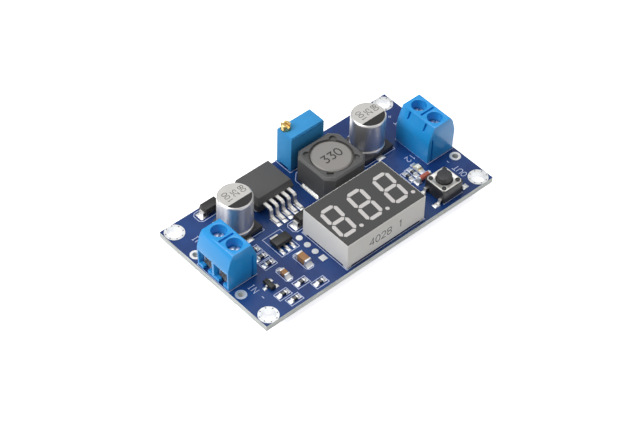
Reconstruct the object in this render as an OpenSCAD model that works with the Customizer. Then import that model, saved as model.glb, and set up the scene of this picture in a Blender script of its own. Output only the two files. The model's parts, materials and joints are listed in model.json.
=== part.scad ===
// Step-down converter module with a three-digit voltmeter, two screw terminals and a setting switch.
// Frame: centre of the board in plan, z = 0 at the tips of the solder joints below the board,
// +X from the input terminal to the output terminal, +Z out of the component side.

/* [Board] */
// Thickness of the circuit board
board_t = 1.5; // [1:0.1:2]
// Distance from the board's ends to the mounting holes' centres
mount_inset_x = 2.4; // [2.2:0.05:2.6]
// Distance from the board's sides to the mounting holes' centres
mount_inset_y = 2.15; // [2.1:0.05:2.3]
// Radius of the mounting holes, inside their plating
mount_hole_r = 1.6; // [1.2:0.05:1.7]
// Radius of the plated rings round the mounting holes
mount_ring_r = 2.3; // [2:0.05:2.5]
// Thickness of copper, plating and tin
copper_t = 0.06; // [0.03:0.01:0.1]
// How far soldered pins stand below the board
pin_drop = 1.6; // [1.3:0.1:2]
// Radius of the wire holes beside the terminals
wire_hole_r = 0.72; // [0.5:0.02:0.8]
// Radius of the rings round the wire holes
wire_ring_r = 1.3; // [1.1:0.05:1.4]
// Distance from the board's ends to the wire holes' centres
wire_hole_inset = 1.7; // [1.5:0.05:1.8]
// Distance from the terminals' centre line to the wire holes
wire_hole_offset = 7.4; // [7:0.1:7.6]

/* [Layout] */
// Gap between the input terminal and the input capacitor's base
terminal_capacitor_gap = 0.75; // [0.5:0.05:3]
// Gap between the input capacitor's base and the main regulator
capacitor_regulator_gap = 2.05; // [1.5:0.05:5]
// Gap between the main regulator and the inductor
regulator_inductor_gap = 3.15; // [2.5:0.05:6]
// Gap between the inductor and the output capacitor's base
inductor_capacitor_gap = 2.55; // [1.5:0.05:5]
// Gap between the output capacitor's base and the output terminal
capacitor_terminal_gap = 2.4; // [1.5:0.05:5]
// Gap between the board's near side and the display
display_inset = 0.85; // [0.5:0.05:2]
// Gap between the display and the inductor
display_inductor_gap = 2; // [1.9:0.05:4]
// Gap between the inductor and the trimmer
inductor_trimmer_gap = 1.3; // [1:0.05:3]
// Gap between the trimmer and the board's far side
trimmer_inset = 0.05; // [0.05:0.05:1]

/* [Screw terminals] */
// Height of a terminal housing
term_h = 9.95; // [9.6:0.05:11]
// Distance between the two poles
term_pitch = 5; // [4.9:0.05:5.2]
// Distance from the board's end to the front of the housing's foot
term_inset = 0.35; // [0.25:0.05:0.5]
// Distance from the front of the foot to the screws' centres
screw_depth = 3.75; // [3.7:0.05:3.8]
// Height of the lips at the wire openings' lower edge
lip_h = 0.9; // [0.6:0.1:1.1]
// Depth of those lips
lip_d = 1; // [0.7:0.1:1]
// Width of the notch between two lips
lip_notch_w = 1.35; // [1:0.05:2]
// Height of the wire openings' upper edge above the board
mouth_top = 4.95; // [4.6:0.05:5.2]
// Radius of the clamp screws' heads
head_r = 1.64; // [1.5:0.01:1.68]
// Height of the clamp screws' heads
head_h = 1.2; // [1:0.05:1.4]
// Radius of the clamp screws' threads
thread_r = 1.25; // [1.1:0.01:1.3]
// Width of a clamp cage
cage_w = 4; // [3.8:0.05:4.1]
// Thickness of a clamp cage's side walls and floor
cage_wall = 0.5; // [0.4:0.05:0.6]
// Thickness of a clamp cage's threaded roof
cage_roof = 0.7; // [0.6:0.05:0.9]
// How far a clamp cage rises
cage_travel = 1.7; // [1:0.05:1.7]
// Height of the fixed tongue's underside above the board
tongue_z = 2.85; // [2.6:0.05:2.9]
// Thickness of the contact strip
strip_t = 0.4; // [0.3:0.05:0.45]

/* [Capacitors] */
// Radius of the capacitor cans
can_r = 4; // [3.8:0.05:4.1]
// Height of the capacitor cans' tops above the board
can_top = 10.2; // [9:0.1:12]
// Height of the capacitor bases
base_h = 1; // [0.8:0.1:1.3]

/* [Inductor] */
// Width of the inductor's square shield
coil_w = 12; // [11.8:0.05:12.2]
// Height of the inductor
coil_h = 7.25; // [6:0.05:8.5]
// Thickness of the drum core's flanges
drum_flange = 1.4; // [1:0.1:1.8]

/* [Trimmer] */
// Length of the trimmer's housing
trim_l = 9.5; // [9:0.1:10]
// Width of the trimmer's housing
trim_w = 4.7; // [4.5:0.05:4.9]
// Height of the trimmer's housing
trim_h = 10; // [8:0.1:11]
// Radius of the adjusting screw
trim_screw_r = 1.1; // [0.9:0.05:1.15]
// How far the adjusting screw stands proud
trim_screw_h = 1.5; // [1.2:0.1:1.8]

/* [Display] */
// Length of the display
disp_l = 22.55; // [22:0.05:22.8]
// Width of the display
disp_w = 14.1; // [14:0.05:14.4]
// Height of the display's face above the board
disp_top = 7.15; // [6:0.05:9]
// Height of the gap under the display's long sides
disp_gap = 0.45; // [0.3:0.05:0.8]
// Share of the display's width that its digits take
digit_share = 0.645; // [0.6:0.005:0.68]
// Width of a digit's segments
seg_w = 0.95; // [0.7:0.05:1]
// How far a digit leans over its height
digit_lean = 0.95; // [0:0.05:1.2]

/* [Setting switch] */
// Width of the switch's square housing
sw_w = 6; // [5.8:0.05:6.2]
// Height of the switch's housing with its cover
sw_h = 3.55; // [3.2:0.05:4]
// Height of the button's top above the board
button_top = 5; // [4.7:0.1:7]
// How far the button travels
button_travel = 0.25; // [0.15:0.05:0.3]

/* [Semiconductors] */
// Width of the main regulator's body
reg_w = 10.2; // [9.9:0.05:10.3]
// Depth of the main regulator's body
reg_d = 8.5; // [8.2:0.05:8.7]
// Height of the main regulator's body
reg_h = 4.5; // [4.2:0.05:4.7]
// Distance between the main regulator's leads
reg_pitch = 1.7; // [1.6:0.02:1.75]
// Length of the power diodes' bodies
diode_l = 4.3; // [4:0.05:4.6]
// Width of the power diodes' bodies
diode_w = 2.6; // [2.4:0.05:2.8]
// Height of the power diodes
diode_h = 2.3; // [2:0.05:2.5]

/* [Hidden] */
$fn = 48;

eps = 0.01;
fit_gap = 0.02;       // between round pieces that seat in each other
run_gap = 0.08;       // between a turning or sliding piece and its guide
pad_t = copper_t;     // tinned pads on the component side
top = pin_drop + board_t;
stand = top + pad_t;  // where soldered leads stand

// Sizes of the terminals, from the cage inside them outwards
cage_d = 5.1;
cage_slack = 0.15;    // beside a cage in its cavity
cavity_w = cage_w + 2 * cage_slack;
well_r = head_r + 0.13;
tongue_w = cage_w - 2 * cage_wall - 0.4;
cavity_front = screw_depth - cage_d / 2 - 0.1;
pin_depth = screw_depth + cage_d / 2 + 0.2 + strip_t / 2;
cavity_back = pin_depth + strip_t / 2 + 0.05;
back_wall = 0.85;
side_wall = 0.4;
term_d = cavity_back + back_wall;
term_w = term_pitch + cavity_w + 2 * side_wall;

// Sizes that follow from others
base_w = 2 * can_r + 0.3;
drum_r = coil_w / 2 - 1.4;
button_r = sw_w / 2 - 1.3;
digit_pitch = disp_l / 3;
digit_h = disp_w * digit_share;
digit_w = digit_pitch * 0.625;
tab_reach = 1.1;      // how far the main regulator's tab stands out behind its body
tab_inset = 0.5;      // from the tab to the board's far side

// The row of large parts sets the board's length, the display's column its width
in_cap_x = term_inset + term_d + terminal_capacitor_gap + base_w / 2;
reg_x = in_cap_x + base_w / 2 + capacitor_regulator_gap + reg_w / 2;
coil_x = reg_x + reg_w / 2 + regulator_inductor_gap + coil_w / 2;
out_cap_x = coil_x + coil_w / 2 + inductor_capacitor_gap + base_w / 2;
board_l = out_cap_x + base_w / 2 + capacitor_terminal_gap + term_d + term_inset;
disp_back = display_inset + disp_w;
coil_y = disp_back + display_inductor_gap + coil_w / 2;
trim_y = coil_y + coil_w / 2 + inductor_trimmer_gap + trim_w / 2;
board_w = trim_y + trim_w / 2 + trimmer_inset;

// Places of the components, from the board's near left corner or from its far edges
right = board_l;
back = board_w;
mid_y = board_w / 2;
cap_places = [[in_cap_x, back - 9.7], [out_cap_x, back - 9.95]];
coil_at = [coil_x, coil_y];
trim_at = [coil_x - 0.5, trim_y];
reg_at = [reg_x, back - tab_inset - tab_reach - reg_d];
diode_places = [[in_cap_x - 0.65, back - 2.15], [reg_x + 1.4, disp_back + 2.4]];
group_x = term_inset + term_d + 3.55;   // chip resistors behind the input terminal
small_reg_at = [group_x + 5.97, mid_y - 1.85];
transistor_at = [7.75, 8.05];
big_block_at = [17.87, 8.7];
small_block_at = [12.25, 8.4];
resistor_places = [[13.5, 4.45], [16.5, 1.9], [8.4, 4.45], [9.35, 1.85], [group_x, mid_y - 4.6],
    [group_x, mid_y - 2.2], [group_x, mid_y + 0.2]];
probe_x = 21.6;
probe_y = [14.2, 11.6, 9.1, 6.6];
disp_at = [probe_x + 1.625 + disp_l / 2, display_inset + disp_w / 2];
switch_at = [right - 11.1, 4.25];
melf_at = [right - 11.9, switch_at[1] + 5.35];
led_at = [right - 10.7, melf_at[1] + 3.1];
upright_resistor_places = [[right - 12.4, melf_at[1] + 2.85], [right - 14, melf_at[1] + 2.6]];
chip_at = [disp_at[0], disp_at[1] + 9.6];

module at(p, z = top) translate([p[0] - board_l / 2, p[1] - board_w / 2, z]) children();

// The points of a bent strip of thickness t along a path in the plane
function unit(v) = v / norm(v);
function left_of(v) = [-v[1], v[0]];
function mitre(a, b, c) = let (m = unit(left_of(unit(b - a)) + left_of(unit(c - b))))
    m / (m * left_of(unit(b - a)));
function shifted(path, d) = let (n = len(path)) [for (i = [0 : n - 1])
    i == 0 ? path[0] + d * left_of(unit(path[1] - path[0]))
    : i == n - 1 ? path[i] + d * left_of(unit(path[i] - path[i - 1]))
    : path[i] + d * mitre(path[i - 1], path[i], path[i + 1])];
function reversed(list) = [for (i = [len(list) - 1 : -1 : 0]) list[i]];
module strip(path, t) polygon(concat(shifted(path, t / 2), reversed(shifted(path, -t / 2))));

// Stands a profile drawn as [outward, up] along X and gives it width w along Y
module upright(w) rotate([90, 0, 0]) linear_extrude(w, center = true) children();
module block(size) translate([-size[0] / 2, -size[1] / 2, 0]) cube(size);
module at_each(places) for (p = places) at(p) children();
module half_turns() for (a = [0, 180]) rotate(a) children();

// A moulded package: widest at its parting line, drawn in above and below
module package(l, w, z0, z1, part_z, draw) {
    hull() {
        translate([0, 0, z0]) block([l - 2 * draw, w - 2 * draw, eps]);
        translate([0, 0, part_z]) block([l, w, eps]);
        translate([0, 0, z1 - eps]) block([l - 2 * draw, w - 2 * draw, eps]);
    }
}

// ---------------------------------------------------------------- board

mount_places = [for (x = [mount_inset_x, right - mount_inset_x])
    for (y = [mount_inset_y, back - mount_inset_y]) [x, y]];
wire_places = [for (x = [wire_hole_inset, right - wire_hole_inset])
    for (y = [mid_y - wire_hole_offset, mid_y + wire_hole_offset]) [x, y]];
term_pin_places = [for (s = [-1, 1]) for (x = [term_inset + pin_depth, right - term_inset - pin_depth])
    [x, mid_y + s * term_pitch / 2]];
lead_pitch = 2.54;
trim_pin_places = [for (i = [-1 : 1]) trim_at + [i * lead_pitch, 0]];
disp_rows = 10.16;
disp_pin_places = [for (s = [-1, 1]) for (i = [-2.5 : 2.5])
    disp_at + [i * lead_pitch, s * disp_rows / 2]];
term_pin_w = 1;
pin_r = 0.27;
term_hole_r = norm([term_pin_w, strip_t]) / 2 + 0.1;
pin_hole_r = pin_r + 0.15;

module circuit_board() color("midnightblue") difference() {
    at([0, 0], pin_drop) cube([board_l, board_w, board_t]);
    translate([0, 0, -board_t - eps]) {
        at_each(mount_places) cylinder(h = board_t + 1, r = mount_hole_r + copper_t + fit_gap);
        at_each(wire_places) cylinder(h = board_t + 1, r = wire_hole_r);
        at_each(term_pin_places) cylinder(h = board_t + 1, r = term_hole_r);
        at_each(concat(trim_pin_places, disp_pin_places)) cylinder(h = board_t + 1, r = pin_hole_r);
    }
}

// A plated hole: a thin sleeve with a ring on both faces of the board
module plated_hole(hole_r, ring_r) difference() {
    union() {
        cylinder(h = copper_t, r = ring_r);
        translate([0, 0, -board_t - copper_t]) cylinder(h = copper_t, r = ring_r);
        translate([0, 0, -board_t - copper_t]) cylinder(h = board_t + 2 * copper_t, r = hole_r + copper_t);
    }
    translate([0, 0, -board_t - 1]) cylinder(h = board_t + 2, r = hole_r);
}

module mounting_hole_plating() color("gainsboro") intersection() {
    at_each(mount_places) plated_hole(mount_hole_r, mount_ring_r);
    at([0, 0], 0) cube([board_l, board_w, top + 1]);
}

// The small wire holes' plating is too thin to draw: rings on both faces, flush with the hole
module wire_hole_rings() color("gainsboro") at_each(wire_places)
    for (z = [0, -board_t - copper_t]) translate([0, 0, z]) difference() {
        cylinder(h = copper_t, r = wire_ring_r);
        translate([0, 0, -eps]) cylinder(h = copper_t + 2 * eps, r = wire_hole_r);
    }

// ---------------------------------------------------------------- pads and joints

module pad(l, w, off = [0, 0]) translate([off[0], off[1], 0]) block([l, w, pad_t]);
module pad_pair(l, w, reach) for (s = [-1, 1]) pad(l, w, [s * reach, 0]);

module solder_pads() color("silver") {
    at_each([for (i = [0 : 2]) [probe_x, probe_y[i]]]) cylinder(h = pad_t, r = 0.75);
    at([probe_x, probe_y[3]]) pad(1.5, 1.5);
    at_each(cap_places) rotate(90) pad_pair(3.4, 2, base_w / 2 - 0.65);
    at(coil_at) pad_pair(3, clip_w + 0.4, coil_w / 2 - 0.95);
    at(reg_at) for (i = [-2 : 2]) pad(1.15, 3, [i * reg_pitch, -3.9]);
    at(reg_at) pad(reg_w - 0.6, reg_d - 0.1, [0, reg_d / 2 + 1.05]);
    at_each(diode_places) pad_pair(2.1, 2.2, diode_l / 2 + 0.15);
    at(small_reg_at) for (i = [-1 : 1]) pad(0.8, 1.5, [i * 1.5, -2.25]);
    at(small_reg_at) pad(2, 2.6, [0, 1.3]);
    at(transistor_at) rotate(90) sot_places() pad(0.9, 1, [0, 0]);
    at(big_block_at) rotate(90) pad_pair(1.4, 1.6, 1.7);
    at(small_block_at) rotate(90) pad_pair(1.25, 1.3, 1.3);
    at_each(resistor_places) pad_pair(1, 1.15, 1.05);
    at_each(upright_resistor_places) rotate(90) pad_pair(1, 1.15, 1.05);
    at(led_at) rotate(90) pad_pair(1.25, 1.3, 1.3);
    at(melf_at) pad_pair(1.5, 1.5, 1.75);
    at(switch_at) switch_lead_places() pad(1.6, 1.25, [sw_w / 2 + 1.35, 0]);
}

// A solder joint on a pin below the board: a concave cone round a hole for the pin
module joint_cone(hole_r, reach) rotate_extrude() polygon([[hole_r + fit_gap, -board_t],
    [reach, -board_t], [reach * 0.72, -board_t - pin_drop * 0.3],
    [hole_r + 0.22, -board_t - pin_drop * 0.8], [hole_r + fit_gap, -board_t - pin_drop * 0.95]]);

module solder_joints() color("silver") {
    at_each(term_pin_places) joint_cone(term_hole_r - 0.1, 1.2);
    at_each(concat(trim_pin_places, disp_pin_places)) joint_cone(pin_r, 0.85);
}

// ---------------------------------------------------------------- screw terminals

face_reach = 0.2;      // how far the front stands ahead of its foot
brow_h = 1;            // upright front above the wire openings
brow_back = 0.5;       // how far the slope over it draws back
slope_top = 1.35;      // from that slope's upper edge to the top
heel_h = 1.1;          // chamfer's fall at the back
crown_front = 1.3;     // where the flat top starts
crown_back = term_d - 1.6;   // where it ends
shoulder_z = 6.4;      // where the back chamfer ends
cage_z = 0.15;
cage_top = tongue_z + strip_t + 0.1 + cage_roof;
cavity_top = cage_top + cage_travel + 0.2;
shelf_t = 0.5;
slit_w = 0.5;          // moulding slits in the top and the back chamfer
slit_depth = 1.6;
groove_w = 0.5;        // keying grooves that join one terminal to the next
groove_depth = 0.35;
head_z = cavity_top + shelf_t;

// Turns things drawn at the input end about the board's centre, to the output end
module at_end(output) rotate(output ? 180 : 0)
    translate([term_inset - board_l / 2, 0, top]) children();
module at_pole(s) translate([screw_depth, s * term_pitch / 2, 0]) children();

module housing_profile() polygon([[0, 0], [-face_reach, mouth_top], [-face_reach, mouth_top + brow_h],
    [brow_back, term_h - slope_top], [crown_front - 0.2, term_h - 0.2], [crown_front, term_h],
    [crown_back, term_h], [term_d - 0.15, shoulder_z], [term_d, shoulder_z - heel_h], [term_d, 0]]);

module terminal_housing(output) color("dodgerblue") at_end(output) difference() {
    upright(term_w) housing_profile();
    for (s = [-1, 1]) {
        at_pole(s) translate([0, 0, cavity_top - eps]) cylinder(h = shelf_t + 1, r = thread_r + run_gap);
        at_pole(s) translate([0, 0, head_z]) cylinder(h = term_h, r = well_r);
        translate([0, s * term_pitch / 2, 0]) {
            // wire mouth above the lips, and the room for the cage behind it
            translate([-2, -cavity_w / 2, lip_h]) cube([2 + cavity_front + eps, cavity_w, mouth_top - lip_h]);
            translate([lip_d, -cavity_w / 2, -eps]) cube([cavity_front - lip_d + eps, cavity_w, mouth_top]);
            translate([cavity_front, -cavity_w / 2, -eps])
                cube([cavity_back - cavity_front, cavity_w, cavity_top + eps]);
            translate([-2, -lip_notch_w / 2, -eps]) cube([2 + lip_d + eps, lip_notch_w, lip_h + 2 * eps]);
            // narrow window in the back chamfer
            translate([crown_back - 0.6, -slit_w / 2, term_h - 2.35]) cube([term_d, slit_w, 2]);
        }
    }
    // slit between the poles and keying grooves down both sides
    translate([crown_front + 0.35, -slit_w / 2, term_h - slit_depth])
        cube([crown_back - crown_front - 0.9, slit_w, 2 * slit_depth]);
    for (s = [-1, 1]) translate([term_d - 3 * groove_w, s * term_w / 2 - groove_depth, -eps])
        cube([groove_w, 2 * groove_depth, shoulder_z]);
}

tongue_tip = 1.8;      // from the front of the foot
riser_z = 0.2;         // where the strip widens from its pin

// The fixed contact of one pole: tongue inside the cage, bent down into the pin
module terminal_contacts(output) color("silver") at_end(output) for (s = [-1, 1])
    translate([0, s * term_pitch / 2, 0]) {
        translate([tongue_tip, -tongue_w / 2, tongue_z])
            cube([pin_depth - tongue_tip + strip_t / 2, tongue_w, strip_t]);
        translate([pin_depth - strip_t / 2, -tongue_w / 2, riser_z]) cube([strip_t, tongue_w, tongue_z]);
        translate([pin_depth - strip_t / 2, -term_pin_w / 2, -board_t - pin_drop])
            cube([strip_t, term_pin_w, pin_drop + board_t + riser_z + 0.1]);
    }

thread_tip = 0.25;     // chamfer at a clamp screw's tip
slot_w = 0.5;
slot_depth = 0.5;
slot_turn = 35;

// The rising cage: a square tube that the wire goes into, threaded in its roof
module clamp_cage(output, s) color("lightgray") at_end(output) at_pole(s) difference() {
    translate([0, 0, cage_z]) block([cage_d, cage_w, cage_top - cage_z]);
    translate([-cage_d, -cage_w / 2 + cage_wall, cage_z + cage_wall])
        cube([2 * cage_d, cage_w - 2 * cage_wall, cage_top - cage_roof - cage_z - cage_wall]);
    translate([0, 0, cage_z + cage_wall + eps]) cylinder(h = cage_top, r = thread_r + run_gap);
}

module clamp_screw(output, s) color("silver") at_end(output) at_pole(s) difference() {
    union() {
        tip_z = tongue_z + strip_t + run_gap;
        translate([0, 0, tip_z]) cylinder(h = thread_tip, r1 = thread_r - thread_tip, r2 = thread_r);
        translate([0, 0, tip_z + thread_tip]) cylinder(h = head_z + run_gap - tip_z, r = thread_r);
        translate([0, 0, head_z + run_gap]) rotate_extrude() polygon([[0, 0], [head_r, 0],
            [head_r, head_h - 0.35], [head_r - 0.12, head_h - 0.12], [head_r - 0.5, head_h], [0, head_h]]);
    }
    translate([0, 0, head_z + run_gap + head_h - slot_depth]) {
        rotate(slot_turn) block([3 * head_r, slot_w, 2 * slot_depth]);
        rotate(slot_turn + 90) block([1.15 * head_r, slot_w, 2 * slot_depth]);
    }
}

module input_terminal_housing() terminal_housing(false);
module output_terminal_housing() terminal_housing(true);
module input_terminal_contacts() terminal_contacts(false);
module output_terminal_contacts() terminal_contacts(true);
module input_clamp_cage_a() clamp_cage(false, -1);
module input_clamp_cage_b() clamp_cage(false, 1);
module output_clamp_cage_a() clamp_cage(true, -1);
module output_clamp_cage_b() clamp_cage(true, 1);
module input_clamp_screw_a() clamp_screw(false, -1);
module input_clamp_screw_b() clamp_screw(false, 1);
module output_clamp_screw_a() clamp_screw(true, -1);
module output_clamp_screw_b() clamp_screw(true, 1);

// ---------------------------------------------------------------- capacitors

cap_lead_t = 0.2;
cap_lead_w = 0.8;
cap_lead_in = 1.3;      // where the leads start under the can
can_edge_r = 0.5;       // rounded top edge
neck_r = 0.4;           // rolled neck above the foot
neck_z = 1.6;
can_z = cap_lead_t + base_h - 0.55;   // the can's foot sits in the base's dish

// A drawn can: rolled-in neck above its foot and a rounded top edge
module capacitor_can(p) color("silver") at(p, stand) rotate_extrude($fn = 64) difference() {
    union() {
        translate([0, can_z]) square([can_r - 0.1, 0.5]);
        translate([0, can_z + 0.45]) square([can_r, can_top - pad_t - can_z - 0.45 - can_edge_r]);
        translate([0, can_top - pad_t - can_edge_r - eps]) square([can_r - can_edge_r, can_edge_r + eps]);
        translate([can_r - can_edge_r, can_top - pad_t - can_edge_r]) circle(r = can_edge_r, $fn = 24);
    }
    translate([can_r + 0.1, can_z + neck_z]) circle(r = neck_r, $fn = 24);
    translate([-can_r, can_z - 1]) square([can_r, can_top + 2]);
}

module capacitor_base(p) color("#1c1c1e") at(p, stand) difference() {
    chamfer = 1.6;
    foot = base_w / 2;
    translate([0, 0, cap_lead_t]) linear_extrude(base_h) polygon([[foot, -foot], [foot, foot - chamfer],
        [foot - chamfer, foot], [chamfer - foot, foot], [-foot, foot - chamfer], [-foot, -foot]]);
    translate([0, 0, can_z]) cylinder(h = base_h, r = can_r + 0.05, $fn = 64);
    for (a = [45, 135, 225, 315]) rotate(a) translate([can_r * 0.74, 0, cap_lead_t - eps])
        cylinder(h = 0.2, r = 0.35);
}

module input_capacitor_can() capacitor_can(cap_places[0]);
module output_capacitor_can() capacitor_can(cap_places[1]);
module input_capacitor_base() capacitor_base(cap_places[0]);
module output_capacitor_base() capacitor_base(cap_places[1]);

module capacitor_leads() color("silver") for (p = cap_places) at(p, stand) rotate(90) half_turns()
    translate([cap_lead_in, -cap_lead_w / 2, 0])
        cube([base_w / 2 + 0.5 - cap_lead_in, cap_lead_w, cap_lead_t]);

// ---------------------------------------------------------------- inductor

coil_z = 0.25;          // the ferrite stands clear of the board on its clips
coil_top = coil_h - pad_t;
coil_chamfer = 1.7;
coil_edge = 0.45;       // bevel round the shield's top
notch_h = 0.6;          // corner notches that the drum is glued in
notch_r = 0.85;
shield_bore = drum_r + 0.45;
clip_w = 5.2;
clip_t = 0.2;
clip_h = 0.45;          // how far the clips' turned-up edges climb the shield
clip_foot = 2.6;        // how far the clips reach in under the shield
drum_web_r = 2.4;

// A square of width w with its corners cut by c
module cut_square(w, c) polygon([for (a = [0 : 90 : 270])
    for (q = [[w / 2, c - w / 2], [w / 2, w / 2 - c]])
        [q[0] * cos(a) - q[1] * sin(a), q[0] * sin(a) + q[1] * cos(a)]]);

module inductor_shield() color("#3a3a3a") at(coil_at, stand) difference() {
    hull() {
        translate([0, 0, coil_z]) linear_extrude(coil_top - coil_z - coil_edge)
            cut_square(coil_w, coil_chamfer);
        translate([0, 0, coil_z]) linear_extrude(coil_top - coil_z)
            cut_square(coil_w - 2 * coil_edge, coil_chamfer - 0.1);
    }
    cylinder(h = 2 * coil_h, r = shield_bore, $fn = 64);
    for (a = [45 : 90 : 315]) rotate(a) translate([shield_bore + 0.35, 0, coil_top - notch_h])
        cylinder(h = 2 * notch_h, r = notch_r);
    half_turns() translate([coil_w / 2 - clip_t - fit_gap, -clip_w / 2 - 0.1, coil_z - eps])
        cube([1, clip_w + 0.2, clip_h]);
}

module inductor_drum() color("#6b6b68") at(coil_at, stand) rotate_extrude($fn = 64) polygon([
    [0, coil_z], [drum_r, coil_z], [drum_r, coil_z + drum_flange], [drum_web_r, coil_z + drum_flange],
    [drum_web_r, coil_top - drum_flange], [drum_r, coil_top - drum_flange],
    [drum_r, coil_top - 0.3], [drum_r - 0.3, coil_top - 0.05], [0, coil_top - 0.05]]);

// The winding: stacked turns of round wire between the flanges
wire_d = 0.7;
module inductor_winding() color("chocolate") at(coil_at, stand) {
    room = coil_top - 2 * drum_flange - coil_z;
    turns = floor(room / wire_d);
    pitch = room / turns;
    rotate_extrude($fn = 64) difference() {
        translate([drum_web_r + fit_gap, coil_z + drum_flange]) square([drum_r - 0.5 - drum_web_r, room]);
        for (i = [0 : turns]) translate([drum_r - 0.35, coil_z + drum_flange + i * pitch])
            rotate(45) square(pitch / 2, center = true);
    }
}

module inductor_terminals() color("silver") at(coil_at, stand) half_turns()
    rotate([90, 0, 0]) linear_extrude(clip_w, center = true) strip([[coil_w / 2 - clip_foot, clip_t / 2],
        [coil_w / 2 - clip_t / 2, clip_t / 2],
        [coil_w / 2 - clip_t / 2, coil_z + clip_h - 0.1]], clip_t);

// ---------------------------------------------------------------- trimmer

trim_screw_off = [trim_screw_r + 0.25 - trim_l / 2, trim_w / 2 - trim_screw_r - 0.15];
trim_z = 0.4;           // small feet hold the housing off the board
trim_socket = 3;

module trimmer_housing() color("#1e6fc0") at(trim_at) difference() {
    union() {
        translate([0, 0, trim_z]) block([trim_l, trim_w, trim_h - trim_z - 0.3]);
        translate([0, 0, trim_h - 0.3 - eps]) block([trim_l - 0.3, trim_w - 0.3, 0.3 + eps]);
        for (x = [-1, 1]) for (y = [-1, 1]) translate([x * (trim_l / 2 - 0.5), y * (trim_w / 2 - 0.5), 0])
            block([1, 1, trim_z + eps]);
    }
    translate([trim_screw_off[0], trim_screw_off[1], trim_h - trim_socket])
        cylinder(h = trim_socket + 1, r = trim_screw_r + run_gap);
    translate([-trim_l / 2 + 3, -trim_w / 2 - eps, trim_h - 0.9]) cube([trim_l - 4, 0.15, 0.25]);
}

module trimmer_screw() color("goldenrod") at(trim_at) translate([trim_screw_off[0], trim_screw_off[1],
    trim_h - trim_socket + run_gap]) difference() {
    l = trim_socket - run_gap + trim_screw_h;
    union() {
        cylinder(h = l - 0.15, r = trim_screw_r);
        translate([0, 0, l - 0.15]) cylinder(h = 0.15, r1 = trim_screw_r, r2 = trim_screw_r - 0.15);
    }
    translate([0, 0, l - 0.7]) block([0.7, 2 * trim_screw_r + 1, 1]);
}

module trimmer_pins() color("silver") at_each(trim_pin_places) translate([0, 0, -board_t - pin_drop])
    cylinder(h = board_t + pin_drop + trim_z, r = pin_r);

// ---------------------------------------------------------------- packages

reg_lead_z = 2.6;
reg_lead_t = 0.45;
reg_foot = 4.55;        // how far the toes reach ahead of the body
tab_l = 3.4;
tab_t = 1.3;
tab_w = reg_w - 2.2;
slug_w = reg_w - 3;     // the soldered slug under the body, one piece with the tab
slug_in = 1.6;

module regulator_body() color("#3a3938") at(reg_at, stand) difference() {
    translate([0, reg_d / 2, 0]) package(reg_w, reg_d, 0.05, reg_h - pad_t, reg_lead_z, 0.5);
    translate([0, reg_d + tab_reach - tab_l / 2, -1])
        block([tab_w + 2 * fit_gap, tab_l + 2 * fit_gap, 1 + tab_t + 2 * fit_gap]);
    translate([0, reg_d / 2, -1]) block([slug_w, reg_d - slug_in, 1 + tab_t + 2 * fit_gap]);
}

// Soldering tab and five gull-wing leads, stamped from one sheet
module regulator_lead_frame() color("silver") at(reg_at, stand) {
    translate([0, reg_d / 2, 0]) block([slug_w - 2 * fit_gap, reg_d - slug_in - 2 * fit_gap, tab_t]);
    translate([0, reg_d + tab_reach - tab_l / 2, 0]) block([tab_w, tab_l, tab_t]);
    for (i = [-2 : 2]) translate([i * reg_pitch, 0, 0]) rotate(-90) upright(0.8)
        strip([[reg_foot, reg_lead_t / 2], [reg_foot - 1.75, reg_lead_t / 2], [reg_foot - 2.3, 0.75],
            [reg_foot - 2.35, reg_lead_z - 0.35], [reg_foot - 2.75, reg_lead_z],
            [-0.02, reg_lead_z]], reg_lead_t);
}

// A two-terminal power diode: tapered body over folded end leads
module diode_body(p) color("#262626") at(p, stand) package(diode_l, diode_w, 0.2, diode_h, 1.15, 0.22);
module input_diode_body() diode_body(diode_places[0]);
module catch_diode_body() diode_body(diode_places[1]);
module diode_leads() color("silver") for (p = diode_places) at(p, stand) half_turns() upright(1.4)
    strip([[diode_l / 2 - 0.6, 0.1], [diode_l / 2 + 0.35, 0.1], [diode_l / 2 + 0.35, 1.15],
        [diode_l / 2, 1.15]], 0.2);

small_reg_size = [4.5, 2.5, 1.5];
module small_regulator_body() color("#2b2b2b") at(small_reg_at, stand)
    package(small_reg_size[0], small_reg_size[1], 0.35, small_reg_size[2], 0.8, 0.12);
module small_regulator_leads() color("silver") at(small_reg_at, stand) {
    for (i = [-1 : 1]) translate([i * 1.5 - 0.22, -small_reg_size[1] / 2 - 1.1, 0]) cube([0.44, 1.6, 0.33]);
    translate([-0.85, -small_reg_size[1] / 2 + 0.7, 0]) cube([1.7, small_reg_size[1] + 0.15, 0.33]);
}

module sot_places() {
    for (x = [-0.97, 0.97]) translate([x, -1.15, 0]) children();
    translate([0, 1.15, 0]) children();
}
module transistor_body() color("#2b2b2b") at(transistor_at, stand) package(1.3, 2.9, 0.1, 1.05, 0.55, 0.1);
module transistor_leads() color("silver") at(transistor_at, stand) rotate(90) {
    for (x = [-0.97, 0, 0.97]) translate([x, 0, 0]) rotate(x == 0 ? 90 : -90) upright(0.42)
        strip([[1.35, 0.06], [1, 0.06], [0.85, 0.55], [0.64, 0.55]], 0.12);
}

// A chip part along X with metal ends
module chip_body(l, w, h, end) translate([0, 0, 0.02]) block([l - 2 * end, w, h]);
module chip_ends(l, w, h, end) for (s = [-1, 1]) translate([s * (l - end) / 2, 0, 0])
    block([end, w + 0.06, h + 0.06]);

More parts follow.
